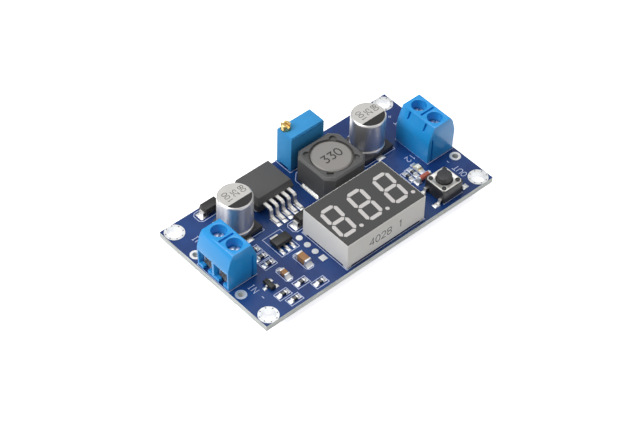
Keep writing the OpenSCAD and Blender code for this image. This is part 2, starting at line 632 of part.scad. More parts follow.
big_block = [3.2, 1.6, 1.5, 0.5];
small_block = [2, 1.25, 0.95, 0.4];
resistor = [1.6, 0.85, 0.45, 0.32];
module ceramic_capacitor_bodies() color("#a07a55") {
    at(big_block_at, stand) rotate(90) chip_body(big_block[0], big_block[1], big_block[2], big_block[3]);
    at(small_block_at, stand) rotate(90)
        chip_body(small_block[0], small_block[1], small_block[2], small_block[3]);
}
module ceramic_capacitor_ends() color("silver") {
    at(big_block_at, stand) rotate(90) chip_ends(big_block[0], big_block[1], big_block[2], big_block[3]);
    at(small_block_at, stand) rotate(90)
        chip_ends(small_block[0], small_block[1], small_block[2], small_block[3]);
}
module each_resistor() {
    for (p = resistor_places) at(p, stand) children();
    for (p = upright_resistor_places) at(p, stand) rotate(90) children();
}
module chip_resistor_bodies() color("#1d1d1d") each_resistor()
    chip_body(resistor[0], resistor[1], resistor[2], resistor[3]);
module chip_resistor_ends() color("silver") each_resistor()
    chip_ends(resistor[0], resistor[1], resistor[2], resistor[3]);

// Indicator lamp: a clear moulded lens over two gold-plated ends
led = [2, 1.25, 0.35, 0.4];
module indicator_led_lens() color("#d5dacb") at(led_at, stand) rotate(90) {
    chip_body(led[0], led[1], led[2], led[3]);
    translate([0, 0, 0.02 + led[2]]) hull() {
        block([1.3, 1.25, 0.05]);
        translate([0, 0, 0.4]) block([1.1, 1.05, 0.05]);
    }
}
module indicator_led_ends() color("gold") at(led_at, stand) rotate(90)
    chip_ends(led[0], led[1], led[2] - 0.06, led[3]);

melf_l = 3.5;
melf_r = 0.7;
melf_cap = 0.45;
module glass_diode_tube() color("#c0604f") at(melf_at, stand + melf_r) rotate([0, 90, 0])
    cylinder(h = melf_l - 2 * melf_cap, r = melf_r - 0.06, center = true);
module glass_diode_caps() color("silver") at(melf_at, stand + melf_r) for (s = [-1, 1])
    translate([s * (melf_l - melf_cap) / 2, 0, 0]) rotate([0, 90, 0])
        cylinder(h = melf_cap, r = melf_r, center = true);

// ---------------------------------------------------------------- setting switch

sw_cover_t = 0.25;
sw_well_r = sw_w / 2 - 0.55;
sw_well_z = 1.3;
flange_r = sw_well_r - 0.25;
flange_t = 0.7;
stake_off = sw_w / 2 - 0.92;
stake_r = 0.5;
flange_top = sw_h - sw_cover_t - 0.08;

module stake_places() for (x = [-1, 1]) for (y = [-1, 1])
    translate([x * stake_off, y * stake_off, 0]) children();

module switch_housing() color("#2a2a2a") at(switch_at, stand) {
    difference() {
        translate([0, 0, 0.1]) linear_extrude(sw_h - sw_cover_t - 0.1) cut_square(sw_w, 0.25);
        translate([0, 0, sw_well_z]) cylinder(h = sw_h, r = sw_well_r);
    }
    stake_places() translate([0, 0, sw_h - sw_cover_t - eps]) cylinder(h = sw_cover_t + 0.22, r = stake_r);
}

module switch_cover() color("#c9c6bc") at(switch_at, stand + sw_h - sw_cover_t) difference() {
    linear_extrude(sw_cover_t) cut_square(sw_w - 0.3, 0.5);
    translate([0, 0, -1]) cylinder(h = 2, r = button_r + 0.25);
    stake_places() translate([0, 0, -1]) cylinder(h = 2, r = stake_r + fit_gap);
}

module switch_button() color("#333333") at(switch_at, stand) rotate_extrude() polygon([
    [0, flange_top - flange_t], [flange_r, flange_top - flange_t], [flange_r, flange_top],
    [button_r, flange_top], [button_r, button_top - pad_t - 0.15],
    [button_r - 0.15, button_top - pad_t], [0, button_top - pad_t]]);

// The snap dome under the button, clear of it by more than the travel
dome_t = 0.08;
dome_r = sw_well_r - 0.35;
dome_rise = flange_top - flange_t - button_travel - 0.1 - sw_well_z;
module switch_dome() color("silver") at(switch_at, stand + sw_well_z) rotate_extrude() polygon([
    [0, dome_rise - dome_t], [dome_r - 1, dome_rise * 0.8 - dome_t], [dome_r - 0.2, 0], [dome_r, 0],
    [dome_r - 0.95, dome_rise * 0.8], [0, dome_rise]]);

module switch_lead_places() for (s = [-1, 1]) for (y = [-2.25, 2.25]) translate([0, y, 0])
    rotate(s == 1 ? 0 : 180) children();
module switch_terminals() color("silver") at(switch_at, stand) switch_lead_places() upright(0.7)
    strip([[sw_w / 2 + 1.3, 0.1], [sw_w / 2 + 0.55, 0.1], [sw_w / 2 + 0.45, 1], [sw_w / 2, 1]], 0.2);

// ---------------------------------------------------------------- display

face_t = 0.25;
disp_rim = 0.12;
foot_l = 1.3;

// A segment: a bar with pointed ends, lying along X
module bar(l) {
    tip = seg_w / 2;
    polygon([[-l / 2, 0], [tip - l / 2, -tip], [l / 2 - tip, -tip], [l / 2, 0], [l / 2 - tip, tip],
        [tip - l / 2, tip]]);
}

// The seven bars of one digit and its point, leaning to the right
module digit() {
    reach = digit_w - seg_w - 0.3;
    rise = (digit_h - seg_w) / 2;
    lean = digit_lean / digit_h;
    multmatrix([[1, lean, 0, 0], [0, 1, 0, 0], [0, 0, 1, 0], [0, 0, 0, 1]]) {
        for (y = [-rise, 0, rise]) translate([0, y]) bar(reach);
        for (x = [-1, 1]) for (y = [-1, 1]) translate([x * (reach + 0.3) / 2, y * rise / 2])
            rotate(90) bar(rise - 0.3);
    }
    translate([digit_w / 2 + 0.55, -rise]) circle(r = 0.48);
}

module all_digits() for (i = [-1 : 1]) translate([i * digit_pitch - 0.35, -0.3]) digit();

module display_housing() color("#d5d2cc") at(disp_at) {
    z1 = disp_top - face_t;
    translate([0, 0, disp_gap]) block([disp_l, disp_w, z1 - disp_gap]);
    translate([0, 0, z1 - eps]) difference() {
        block([disp_l, disp_w, face_t + eps]);
        translate([0, 0, -1]) block([disp_l - 2 * disp_rim, disp_w - 2 * disp_rim, 3]);
    }
    for (x = [-1, 1]) for (y = [-1, 1])
        translate([x * (disp_l - foot_l) / 2, y * (disp_w - foot_l) / 2, 0])
            block([foot_l, foot_l, disp_gap + eps]);
}

module display_face() color("#3f3f3f") at(disp_at, top + disp_top - face_t) linear_extrude(face_t)
    difference() {
        square([disp_l - 2 * disp_rim, disp_w - 2 * disp_rim], center = true);
        all_digits();
    }

module display_segments() color("#b9b6b4") at(disp_at, top + disp_top - face_t)
    linear_extrude(face_t) all_digits();

module display_pins() color("silver") at_each(disp_pin_places) translate([0, 0, -board_t - pin_drop])
    cylinder(h = board_t + pin_drop + disp_gap, r = pin_r);

// ---------------------------------------------------------------- underside

chip = [6.5, 4.4, 1];
chip_pitch = 0.65;
module under(p) at(p, pin_drop) mirror([0, 0, 1]) children();
module microcontroller_body() color("#2b2b2b") under(chip_at)
    package(chip[0], chip[1], 0.1, chip[2], 0.55, 0.12);
module microcontroller_leads() color("silver") under(chip_at) half_turns() for (i = [-4.5 : 4.5])
    translate([i * chip_pitch, 0, 0]) rotate(90) upright(0.25)
        strip([[chip[1] / 2 + 1, 0.08], [chip[1] / 2 + 0.5, 0.08], [chip[1] / 2 + 0.35, 0.55],
            [chip[1] / 2 - 0.02, 0.55]], 0.15);

// ---------------------------------------------------------------- nodes

circuit_board();
mounting_hole_plating();
wire_hole_rings();
solder_pads();
solder_joints();
input_terminal_housing();
input_terminal_contacts();
input_clamp_cage_a();
input_clamp_cage_b();
input_clamp_screw_a();
input_clamp_screw_b();
output_terminal_housing();
output_terminal_contacts();
output_clamp_cage_a();
output_clamp_cage_b();
output_clamp_screw_a();
output_clamp_screw_b();
input_capacitor_can();
input_capacitor_base();
output_capacitor_can();
output_capacitor_base();
capacitor_leads();
inductor_shield();
inductor_drum();
inductor_winding();
inductor_terminals();
trimmer_housing();
trimmer_screw();
trimmer_pins();
regulator_body();
regulator_lead_frame();
input_diode_body();
catch_diode_body();
diode_leads();
small_regulator_body();
small_regulator_leads();
transistor_body();
transistor_leads();
ceramic_capacitor_bodies();
ceramic_capacitor_ends();
chip_resistor_bodies();
chip_resistor_ends();
indicator_led_lens();
indicator_led_ends();
glass_diode_tube();
glass_diode_caps();
switch_housing();
switch_cover();
switch_button();
switch_dome();
switch_terminals();
display_housing();
display_face();
display_segments();
display_pins();
microcontroller_body();
microcontroller_leads();
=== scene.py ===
"""Finishes, markings, solder and studio for a step-down converter module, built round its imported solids."""

import json
import logging
import math
import random
from dataclasses import dataclass, field
from enum import Enum

import bmesh
import bpy
from mathutils import Matrix, Vector

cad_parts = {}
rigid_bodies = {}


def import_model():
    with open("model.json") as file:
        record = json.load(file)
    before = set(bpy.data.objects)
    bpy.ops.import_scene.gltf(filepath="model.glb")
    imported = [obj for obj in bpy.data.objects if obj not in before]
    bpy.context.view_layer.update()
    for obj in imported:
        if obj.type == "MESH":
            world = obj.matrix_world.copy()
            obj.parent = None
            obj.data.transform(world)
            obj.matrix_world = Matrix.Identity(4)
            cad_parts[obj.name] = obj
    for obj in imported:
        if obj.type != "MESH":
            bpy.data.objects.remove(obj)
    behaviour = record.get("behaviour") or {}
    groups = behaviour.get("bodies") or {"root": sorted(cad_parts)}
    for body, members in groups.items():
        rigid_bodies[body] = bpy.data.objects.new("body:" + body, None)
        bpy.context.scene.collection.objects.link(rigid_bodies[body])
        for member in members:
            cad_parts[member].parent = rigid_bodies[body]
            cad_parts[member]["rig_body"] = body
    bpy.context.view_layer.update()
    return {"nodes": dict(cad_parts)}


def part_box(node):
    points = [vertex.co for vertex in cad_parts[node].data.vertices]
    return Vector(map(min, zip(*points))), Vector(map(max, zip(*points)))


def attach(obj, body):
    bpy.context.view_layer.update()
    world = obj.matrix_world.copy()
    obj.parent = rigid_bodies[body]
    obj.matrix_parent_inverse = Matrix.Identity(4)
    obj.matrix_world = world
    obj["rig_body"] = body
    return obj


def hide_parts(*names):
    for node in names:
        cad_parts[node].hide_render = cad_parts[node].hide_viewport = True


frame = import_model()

MM = 0.001
MODULE = "module"
LETTER_WIDTH = 0.62
LETTER_STEP = 1.35
GLYPH_CHORD_DEG = 30
MERGE = 1e-6
SAME = 0.01 * MM
SOLDER_FILM = 0.004 * MM
FLAT_DEG = 0.6
SHARP_DEG = 32.0
NOISE_LOW, NOISE_HIGH = 0.3, 0.7
Point = tuple[float, float]
Colour = tuple[float, float, float]

logging.basicConfig(level=logging.INFO, format="%(message)s")
log = logging.getLogger("module")


# --------------------------------------------------------------------------- measuring the frame


@dataclass(frozen=True)
class Block:
    """An upright box in the module's frame, in metres."""

    low: Vector
    high: Vector

    @property
    def centre(self) -> Vector:
        """The box's middle."""
        return (self.low + self.high) / 2

    @property
    def size(self) -> Vector:
        """The box's three lengths."""
        return self.high - self.low

    def holds(self, point: Vector, spare: float = 0.0) -> bool:
        """Whether a point is inside the box in plan.

        Args:
            point: The point, of which only x and y count.
            spare: How far outside the box still counts.

        Returns:
            True if it is inside.
        """
        return all(self.low[i] - spare <= point[i] <= self.high[i] + spare for i in (0, 1))


def node_block(node: str) -> Block:
    """The box of a CAD node.

    Args:
        node: The node's name.

    Returns:
        Its box at rest.
    """
    return Block(*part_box(node))


def solids_of(node: str) -> list[Block]:
    """The boxes of a node's separate solids.

    Args:
        node: The node's name.

    Returns:
        One box for each solid, ordered by x and then y.
    """
    shape = bmesh.new()
    shape.from_mesh(frame["nodes"][node].data)
    bmesh.ops.remove_doubles(shape, verts=shape.verts, dist=MERGE)
    blocks: list[Block] = []
    seen: set[int] = set()
    for start in shape.verts:
        if start.index in seen:
            continue
        seen.add(start.index)
        group, queue = [start], [start]
        while queue:
            for edge in queue.pop().link_edges:
                for vert in edge.verts:
                    if vert.index not in seen:
                        seen.add(vert.index)
                        group.append(vert)
                        queue.append(vert)
        low = Vector(min(v.co[i] for v in group) for i in range(3))
        high = Vector(max(v.co[i] for v in group) for i in range(3))
        blocks.append(Block(low, high))
    shape.free()
    return sorted(blocks, key=lambda b: (round(b.centre.x, 5), round(b.centre.y, 5)))


# --------------------------------------------------------------------------- finishes


class Shader:
    """A material's node tree while it is being put together."""

    def __init__(self, name: str) -> None:
        """Starts a material with a principled surface.

        Args:
            name: The material's name.
        """
        self.material = bpy.data.materials.new(name)
        self.material.use_nodes = True
        self.tree = self.material.node_tree
        self.tree.nodes.clear()
        self.surface = self.add("ShaderNodeBsdfPrincipled")
        self.output = self.add("ShaderNodeOutputMaterial")
        self.join(self.surface, "BSDF", self.output, "Surface")
        self.place = self.add("ShaderNodeTexCoord")

    def add(self, kind: str, **settings: object) -> bpy.types.Node:
        """Adds a node and sets its properties.

        Args:
            kind: The node's type.
            settings: Property names and values.

        Returns:
            The node.
        """
        node = self.tree.nodes.new(kind)
        for name, value in settings.items():
            setattr(node, name, value)
        return node

    def join(self, source: bpy.types.Node, out: str | int,
             target: bpy.types.Node, into: str | int) -> None:
        """Links one node's output to another's input.

        Args:
            source: The node that gives.
            out: Its output's name or number.
            target: The node that takes.
            into: Its input's name or number.
        """
        self.tree.links.new(source.outputs[out], target.inputs[into])

    def set(self, **values: object) -> None:
        """Sets constant inputs of the surface; an underscore in a name stands for a space."""
        for name, value in values.items():
            self.surface.inputs[name.replace("_", " ")].default_value = value

    def noise(self, size_mm: float, detail: float = 3.0,
              stretch: Colour = (1.0, 1.0, 1.0)) -> bpy.types.Node:
        """Adds a noise whose grains are about a given size on the object.

        Args:
            size_mm: The grains' size in millimetres.
            detail: How many finer layers it has.
            stretch: How much longer the grains are along each axis.

        Returns:
            The noise texture node.
        """
        mapping = self.add("ShaderNodeMapping")
        mapping.inputs["Scale"].default_value = [1 / (s * size_mm * MM) for s in stretch]
        noise = self.add("ShaderNodeTexNoise")
        noise.inputs["Scale"].default_value = 1.0
        noise.inputs["Detail"].default_value = detail
        self.join(self.place, "Object", mapping, "Vector")
        self.join(mapping, "Vector", noise, "Vector")
        return noise

    def ramp(self, source: bpy.types.Node, stops: list[tuple[float, Colour]]) -> bpy.types.Node:
        """Turns a value into colours.

        Args:
            source: The node whose first output gives the value.
            stops: Places from 0 to 1 with their colours.

        Returns:
            The colour ramp node.
        """
        ramp = self.add("ShaderNodeValToRGB")
        elements = ramp.color_ramp.elements
        while len(elements) < len(stops):
            elements.new(0.5)
        for element, (place, colour) in zip(elements, stops):
            element.position = place
            element.color = (*colour, 1.0)
        self.join(source, 0, ramp, "Fac")
        return ramp

    def band(self, source: bpy.types.Node, low: float, high: float) -> bpy.types.Node:
        """Stretches a 0 to 1 value to a range.

        Args:
            source: The node whose first output gives the value.
            low: What 0 becomes.
            high: What 1 becomes.

        Returns:
            The range node.
        """
        band = self.add("ShaderNodeMapRange")
        band.inputs["From Min"].default_value = NOISE_LOW
        band.inputs["From Max"].default_value = NOISE_HIGH
        band.inputs["To Min"].default_value = low
        band.inputs["To Max"].default_value = high
        self.join(source, 0, band, "Value")
        return band

    def mix(self, first: bpy.types.Node, second: bpy.types.Node, fac: bpy.types.Node) -> bpy.types.Node:
        """Mixes two colours by a value.

        Args:
            first: The node for 0.
            second: The node for 1.
            fac: The node that gives the value.

        Returns:
            The mix node, whose colour comes out at "Result".
        """
        mix = self.add("ShaderNodeMix", data_type="RGBA")
        self.join(fac, 0, mix, 0)
        self.join(first, "Color", mix, 6)
        self.join(second, "Color", mix, 7)
        return mix

    def bump(self, heights: list[tuple[bpy.types.Node, float]]) -> None:
        """Roughens the surface with layers of relief.

        Args:
            heights: Texture nodes with the height in millimetres that each adds.
        """
        previous = None
        for texture, depth_mm in heights:
            bump = self.add("ShaderNodeBump")
            bump.inputs["Strength"].default_value = 1.0
            bump.inputs["Distance"].default_value = depth_mm * MM
            self.join(texture, 0, bump, "Height")
            if previous is not None:
                self.join(previous, "Normal", bump, "Normal")
            previous = bump
        self.join(previous, "Normal", self.surface, "Normal")


def shade(colour: Colour, factor: float) -> Colour:
    """A colour made lighter or darker.

    Args:
        colour: The colour.
        factor: What its channels are multiplied by.

    Returns:
        The new colour, held to 0 to 1.
    """
    return tuple(min(1.0, max(0.0, c * factor)) for c in colour)


def paint(code: str) -> Colour:
    """A screen colour as the shaders want it.

    Args:
        code: The colour as six hexadecimal digits.

    Returns:
        Linear red, green and blue.
    """
    values = [int(code[i:i + 2], 16) / 255 for i in (0, 2, 4)]
    return tuple(v / 12.92 if v <= 0.04045 else ((v + 0.055) / 1.055) ** 2.4 for v in values)


@dataclass(frozen=True)
class Moulding:
    """A moulded plastic or epoxy: soft colour drift, fine grain and uneven gloss."""

    name: str
    colour: Colour
    roughness: float = 0.42
    grain_mm: float = 0.12
    grain_depth_mm: float = 0.004
    drift: float = 0.08
    gloss: float = 0.5

    def make(self) -> bpy.types.Material:
        """Builds the material.

        Returns:
            The material.
        """
        s = Shader(self.name)
        cloud = s.noise(2.6, 4)
        grain = s.noise(self.grain_mm, 2)
        dark, light = shade(self.colour, 1 - self.drift), shade(self.colour, 1 + self.drift)
        tones = s.ramp(cloud, [(NOISE_LOW, dark), (NOISE_HIGH, light)])
        s.join(tones, "Color", s.surface, "Base Color")
        gloss = s.band(cloud, self.roughness - 0.06, self.roughness + 0.08)
        s.join(gloss, "Result", s.surface, "Roughness")
        s.set(Specular_IOR_Level=self.gloss)
        s.bump([(grain, self.grain_depth_mm), (cloud, self.grain_depth_mm * 2)])
        return s.material


@dataclass(frozen=True)
class Laminate:
    """A coated board: glossy mask on both faces, bare glass laminate in layers at the edges."""

    name: str
    mask: Colour
    mask_dark: Colour
    edge: Colour
    mask_roughness: float = 0.27
    edge_roughness: float = 0.72

    def make(self) -> bpy.types.Material:
        """Builds the material.

        Returns:
            The material.
        """
        s = Shader(self.name)
        cloud = s.noise(7, 3)
        weave = s.noise(0.5, 2)
        mask = s.ramp(cloud, [(0.35, self.mask_dark), (0.65, self.mask)])
        layers = s.noise(0.35, 2, (14, 14, 1))
        edge = s.ramp(layers, [(0.35, shade(self.edge, 0.72)), (0.62, shade(self.edge, 1.12))])
        normal = s.add("ShaderNodeSeparateXYZ")
        s.join(s.place, "Normal", normal, 0)
        upright = s.add("ShaderNodeMath", operation="ABSOLUTE")
        s.join(normal, "Z", upright, 0)
        side = s.add("ShaderNodeMath", operation="LESS_THAN")
        side.inputs[1].default_value = 0.5
        s.join(upright, 0, side, 0)
        mixed = s.mix(mask, edge, side)
        s.join(mixed, "Result", s.surface, "Base Color")
        gloss = s.add("ShaderNodeMath", operation="MULTIPLY_ADD")
        gloss.inputs[1].default_value = self.edge_roughness - self.mask_roughness
        gloss.inputs[2].default_value = self.mask_roughness
        s.join(side, 0, gloss, 0)
        s.join(gloss, 0, s.surface, "Roughness")
        s.set(Specular_IOR_Level=0.45, Coat_Weight=0.15, Coat_Roughness=0.12)
        s.bump([(weave, 0.004), (cloud, 0.02)])
        return s.material


@dataclass(frozen=True)
class Metal:
    """A bare or plated metal with ripples, streaks and a drifting tone."""

    name: str
    colour: Colour
    roughness: float = 0.3
    ripple_mm: float = 0.35
    ripple_depth_mm: float = 0.015
    streak: Colour = (1.0, 1.0, 1.0)
    drift: float = 0.12

    def make(self) -> bpy.types.Material:
        """Builds the material.

        Returns:
            The material.
        """
        s = Shader(self.name)
        cloud = s.noise(1.3, 4)
        ripple = s.noise(self.ripple_mm, 3, self.streak)
        dark, light = shade(self.colour, 1 - self.drift), shade(self.colour, 1 + self.drift)
        tones = s.ramp(cloud, [(0.32, dark), (0.68, light)])
        s.join(tones, "Color", s.surface, "Base Color")
        gloss = s.band(ripple, self.roughness * 0.75, self.roughness * 1.35)
        s.join(gloss, "Result", s.surface, "Roughness")
        s.set(Metallic=1.0)
        s.bump([(ripple, self.ripple_depth_mm)])
        return s.material


@dataclass(frozen=True)
class Stone:
    """A sintered material such as ferrite or ceramic: speckled, with pores."""

    name: str
    colour: Colour
    fleck: Colour
    roughness: float = 0.5
    fleck_mm: float = 0.18
    gloss: float = 0.4

    def make(self) -> bpy.types.Material:
        """Builds the material.

        Returns:
            The material.
        """
        s = Shader(self.name)
        flecks = s.noise(self.fleck_mm, 4)
        cloud = s.noise(3, 3)
        dark = shade(self.colour, 0.82)
        tones = s.ramp(flecks, [(0.3, dark), (0.52, self.colour), (0.75, self.fleck)])
        s.join(tones, "Color", s.surface, "Base Color")
        gloss = s.band(cloud, self.roughness - 0.08, self.roughness + 0.1)
        s.join(gloss, "Result", s.surface, "Roughness")
        s.set(Specular_IOR_Level=self.gloss)
        s.bump([(flecks, 0.008)])
        return s.material


@dataclass(frozen=True)
class Glass:
    """A small tinted glass body, a little cloudy, as seen from outside."""

    name: str
    colour: Colour
    clarity: float = 0.35

    def make(self) -> bpy.types.Material:
        """Builds the material.

        Returns:
            The material.
        """
        s = Shader(self.name)
        bands = s.noise(0.8, 3, (0.5, 1, 1))
        tones = s.ramp(bands, [(0.3, shade(self.colour, 0.6)), (0.65, shade(self.colour, 1.25))])
        s.join(tones, "Color", s.surface, "Base Color")
        gloss = s.band(bands, 0.06, 0.16)
        s.join(gloss, "Result", s.surface, "Roughness")
        s.set(Transmission_Weight=self.clarity, IOR=1.5)
        s.bump([(bands, 0.003)])
        return s.material


@dataclass(frozen=True)
class Ink:
    """Screen-printed epoxy ink: a little uneven in tone and edge gloss."""

    name: str
    colour: Colour
    roughness: float = 0.55

    def make(self) -> bpy.types.Material:
        """Builds the material.

        Returns:
            The material.
        """
        s = Shader(self.name)
        specks = s.noise(0.22, 4)
        tones = s.ramp(specks, [(0.25, shade(self.colour, 0.78)), (0.55, self.colour)])
        s.join(tones, "Color", s.surface, "Base Color")
        gloss = s.band(specks, self.roughness - 0.08, self.roughness + 0.1)
        s.join(gloss, "Result", s.surface, "Roughness")
        s.bump([(specks, 0.004)])
        return s.material


class Finish(Enum):
    """Every finish on the module."""

    MASK = Laminate("board_mask", paint("16407e"), paint("0f2f6a"), paint("d5d9d6"))
    TIN = Metal("tin_plating", paint("b9bcc0"), 0.3, 0.4, 0.03)
    SOLDER = Metal("solder", paint("bfc2c6"), 0.2, 0.28, 0.05)
    LEGEND = Ink("legend_ink", paint("c3cdea"))
    TERMINAL = Moulding("terminal_plastic", paint("0442cc"), 0.38, 0.1, 0.003, 0.05, 0.5)
    CONTACT = Metal("contact_strip", paint("d2cdbe"), 0.34, 0.5, 0.006)
    CLAMP = Metal("clamp_steel", paint("cfcdc6"), 0.33, 0.3, 0.012)
    CAN = Metal("capacitor_can", paint("b4b4b6"), 0.34, 0.5, 0.0025, (1, 1, 9), 0.04)
    CAN_TOP = Moulding("can_coating", paint("c9c7c3"), 0.42, 0.25, 0.004, 0.03, 0.6)
    CAN_MARK = Ink("can_mark_ink", paint("1a1918"), 0.38)
    CAN_PRINT = Ink("can_print_ink", paint("4a4744"), 0.5)
    BASE = Moulding("capacitor_base", paint("1c1d21"), 0.4, 0.1, 0.004)
    LEAD = Metal("tinned_lead", paint("cfccbd"), 0.3, 0.3, 0.012)
    FERRITE = Stone("ferrite_shield", paint("1e1e1f"), paint("3a3a3b"), 0.5)
    FERRITE_EDGE = Stone("ferrite_ground_edge", paint("757573"), paint("8d8d8a"), 0.42)
    DRUM = Stone("ferrite_core", paint("474542"), paint("5a5855"), 0.5)
    POTTING = Moulding("potting_resin", paint("3a3733"), 0.45, 0.3, 0.02, 0.2, 0.4)
    WIRE = Metal("enamelled_copper", paint("8a4a22"), 0.25, 0.3, 0.01)
    PRINT_DARK = Ink("dark_print_ink", paint("2a2a29"), 0.5)
    TRIMMER = Moulding("trimmer_plastic", paint("0c4fa6"), 0.42, 0.14, 0.004, 0.07)
    BRASS = Metal("screw_brass", paint("c79a4a"), 0.28, 0.2, 0.012)
    EPOXY = Moulding("package_epoxy", paint("262524"), 0.5, 0.08, 0.006, 0.1, 0.45)
    EPOXY_DARK = Moulding("small_package_epoxy", paint("242423"), 0.45, 0.08, 0.005, 0.1, 0.5)
    CERAMIC = Stone("brown_ceramic", paint("9d7248"), paint("b0875c"), 0.4, 0.12)
    GLAZE = Moulding("resistor_glaze", paint("17171a"), 0.22, 0.1, 0.002, 0.1, 0.6)
    CODE = Ink("code_ink", paint("b9b9b4"))
    LAMP = Moulding("lamp_resin", paint("dfe2d2"), 0.25, 0.2, 0.003, 0.05, 0.6)
    GOLD = Metal("lamp_ends", paint("d9c58c"), 0.28, 0.2, 0.01)
    GLASS = Glass("diode_glass", paint("b8402c"))
    NYLON = Moulding("switch_nylon", paint("28282a"), 0.42, 0.1, 0.004, 0.1, 0.5)
    BUTTON = Moulding("button_nylon", paint("343436"), 0.46, 0.12, 0.005, 0.08, 0.5)
    COVER = Metal("cover_steel", paint("c4c1b4"), 0.42, 0.15, 0.006, (6, 1, 1), 0.05)
    HOUSING = Moulding("display_plastic", paint("d2cfc9"), 0.5, 0.16, 0.005, 0.03, 0.45)
    FACE = Moulding("display_face", paint("343434"), 0.55, 0.12, 0.004, 0.06, 0.4)
    SEGMENT = Moulding("segment_resin", paint("bab7b5"), 0.38, 0.12, 0.004, 0.04, 0.5)

    def material(self) -> bpy.types.Material:
        """The finish's material, made when it is first asked for."""
        made = bpy.data.materials.get(self.value.name)
        return made if made is not None else self.value.make()


# --------------------------------------------------------------------------- making pieces


def show(piece: bpy.types.Object, body: str) -> bpy.types.Object:
    """Puts a finished piece on its body, and logs it.

    Args:
        piece: The piece.
        body: The CAD body that it rides on.

    Returns:
        The same piece.
    """
    if piece.name not in bpy.context.scene.collection.objects:
        bpy.context.scene.collection.objects.link(piece)
    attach(piece, body)
    log.info("piece %s on %s", piece.name, body)
    return piece


def dress(node: str, finish: Finish) -> None:
    """Gives a CAD node its finish.

    Args:
        node: The node's name.
        finish: The finish.
    """
    obj = frame["nodes"][node]
    obj.data.materials.clear()
    obj.data.materials.append(finish.material())
    log.info("node %s in %s", node, finish.value.name)


def body_of_node(node: str) -> str:
    """The CAD body that a node belongs to."""
    return frame["nodes"][node]["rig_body"]


def object_from(shape: bmesh.types.BMesh, name: str, finishes: list[Finish],
                smooth_deg: float) -> bpy.types.Object:
    """Turns a built shape into an object.

    Args:
        shape: The shape, which is freed.
        name: The object's name.
        finishes: One finish for each material number in the shape.
        smooth_deg: Edges sharper than this stay crisp.

    Returns:
        The object, not yet in the scene.
    """
    bmesh.ops.recalc_face_normals(shape, faces=shape.faces)
    mesh = bpy.data.meshes.new(name)
    shape.to_mesh(mesh)
    shape.free()
    for finish in finishes:
        mesh.materials.append(finish.material())
    mesh.shade_smooth()
    mesh.set_sharp_from_angle(angle=math.radians(smooth_deg))
    return bpy.data.objects.new(name, mesh)


def soften(node: str, finish: Finish, width_mm: float, edge: Finish | None = None,
           segments: int = 3) -> bpy.types.Object:
    """Stands a copy of a CAD node in its place, with small moulded or ground radii on its edges.

    Args:
        node: The node that it stands for.
        finish: The finish of its faces.
        width_mm: The radii's width.
        edge: A finish for the radii, where it is another one.
        segments: How many faces round off each edge.

    Returns:
        The softened piece.
    """
    shape = bmesh.new()
    shape.from_mesh(frame["nodes"][node].data)
    bmesh.ops.remove_doubles(shape, verts=shape.verts, dist=MERGE)
    bmesh.ops.dissolve_limit(shape, angle_limit=math.radians(FLAT_DEG), verts=shape.verts, edges=shape.edges)
    least = math.radians(SHARP_DEG)
    sharp = [e for e in shape.edges if len(e.link_faces) == 2 and e.calc_face_angle(0) > least]
    before = set(shape.faces)
    bmesh.ops.bevel(shape, geom=sharp, offset=width_mm * MM, offset_type="OFFSET", segments=segments,
                    profile=0.5, affect="EDGES", clamp_overlap=True, material=1 if edge else -1)
    for face in shape.faces:
        if edge is None or face in before:
            face.material_index = 0
    bmesh.ops.triangulate(shape, faces=[f for f in shape.faces if len(f.verts) > 4])
    piece = object_from(shape, node + "_moulded", [finish] + ([edge] if edge else []), 40)
    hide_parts(node)
    return show(piece, body_of_node(node))


def mitred(path: list[Point], half: float, closed: bool) -> tuple[list[Point], list[Point]]:
    """The two sides of a stroke along a path.

    Args:
        path: The stroke's middle line.
        half: Half the stroke's width.
        closed: Whether the end joins the start.

    Returns:
        The left side's points and the right side's.
    """
    count = len(path)
    left, right = [], []
    for i, here in enumerate(path):
        before = path[i - 1] if closed or i else None
        after = path[(i + 1) % count] if closed or i < count - 1 else None
        ways = []
        for a, b in ((before, here), (here, after)):
            if a is not None and b is not None:
                ways.append((Vector(b) - Vector(a)).normalized())
        normals = [Vector((-w.y, w.x)) for w in ways]
        middle = sum(normals, Vector((0, 0))).normalized()
        reach = half / max(0.35, middle.dot(normals[0]))
        left.append(tuple(Vector(here) + middle * reach))
        right.append(tuple(Vector(here) - middle * reach))
    return left, right


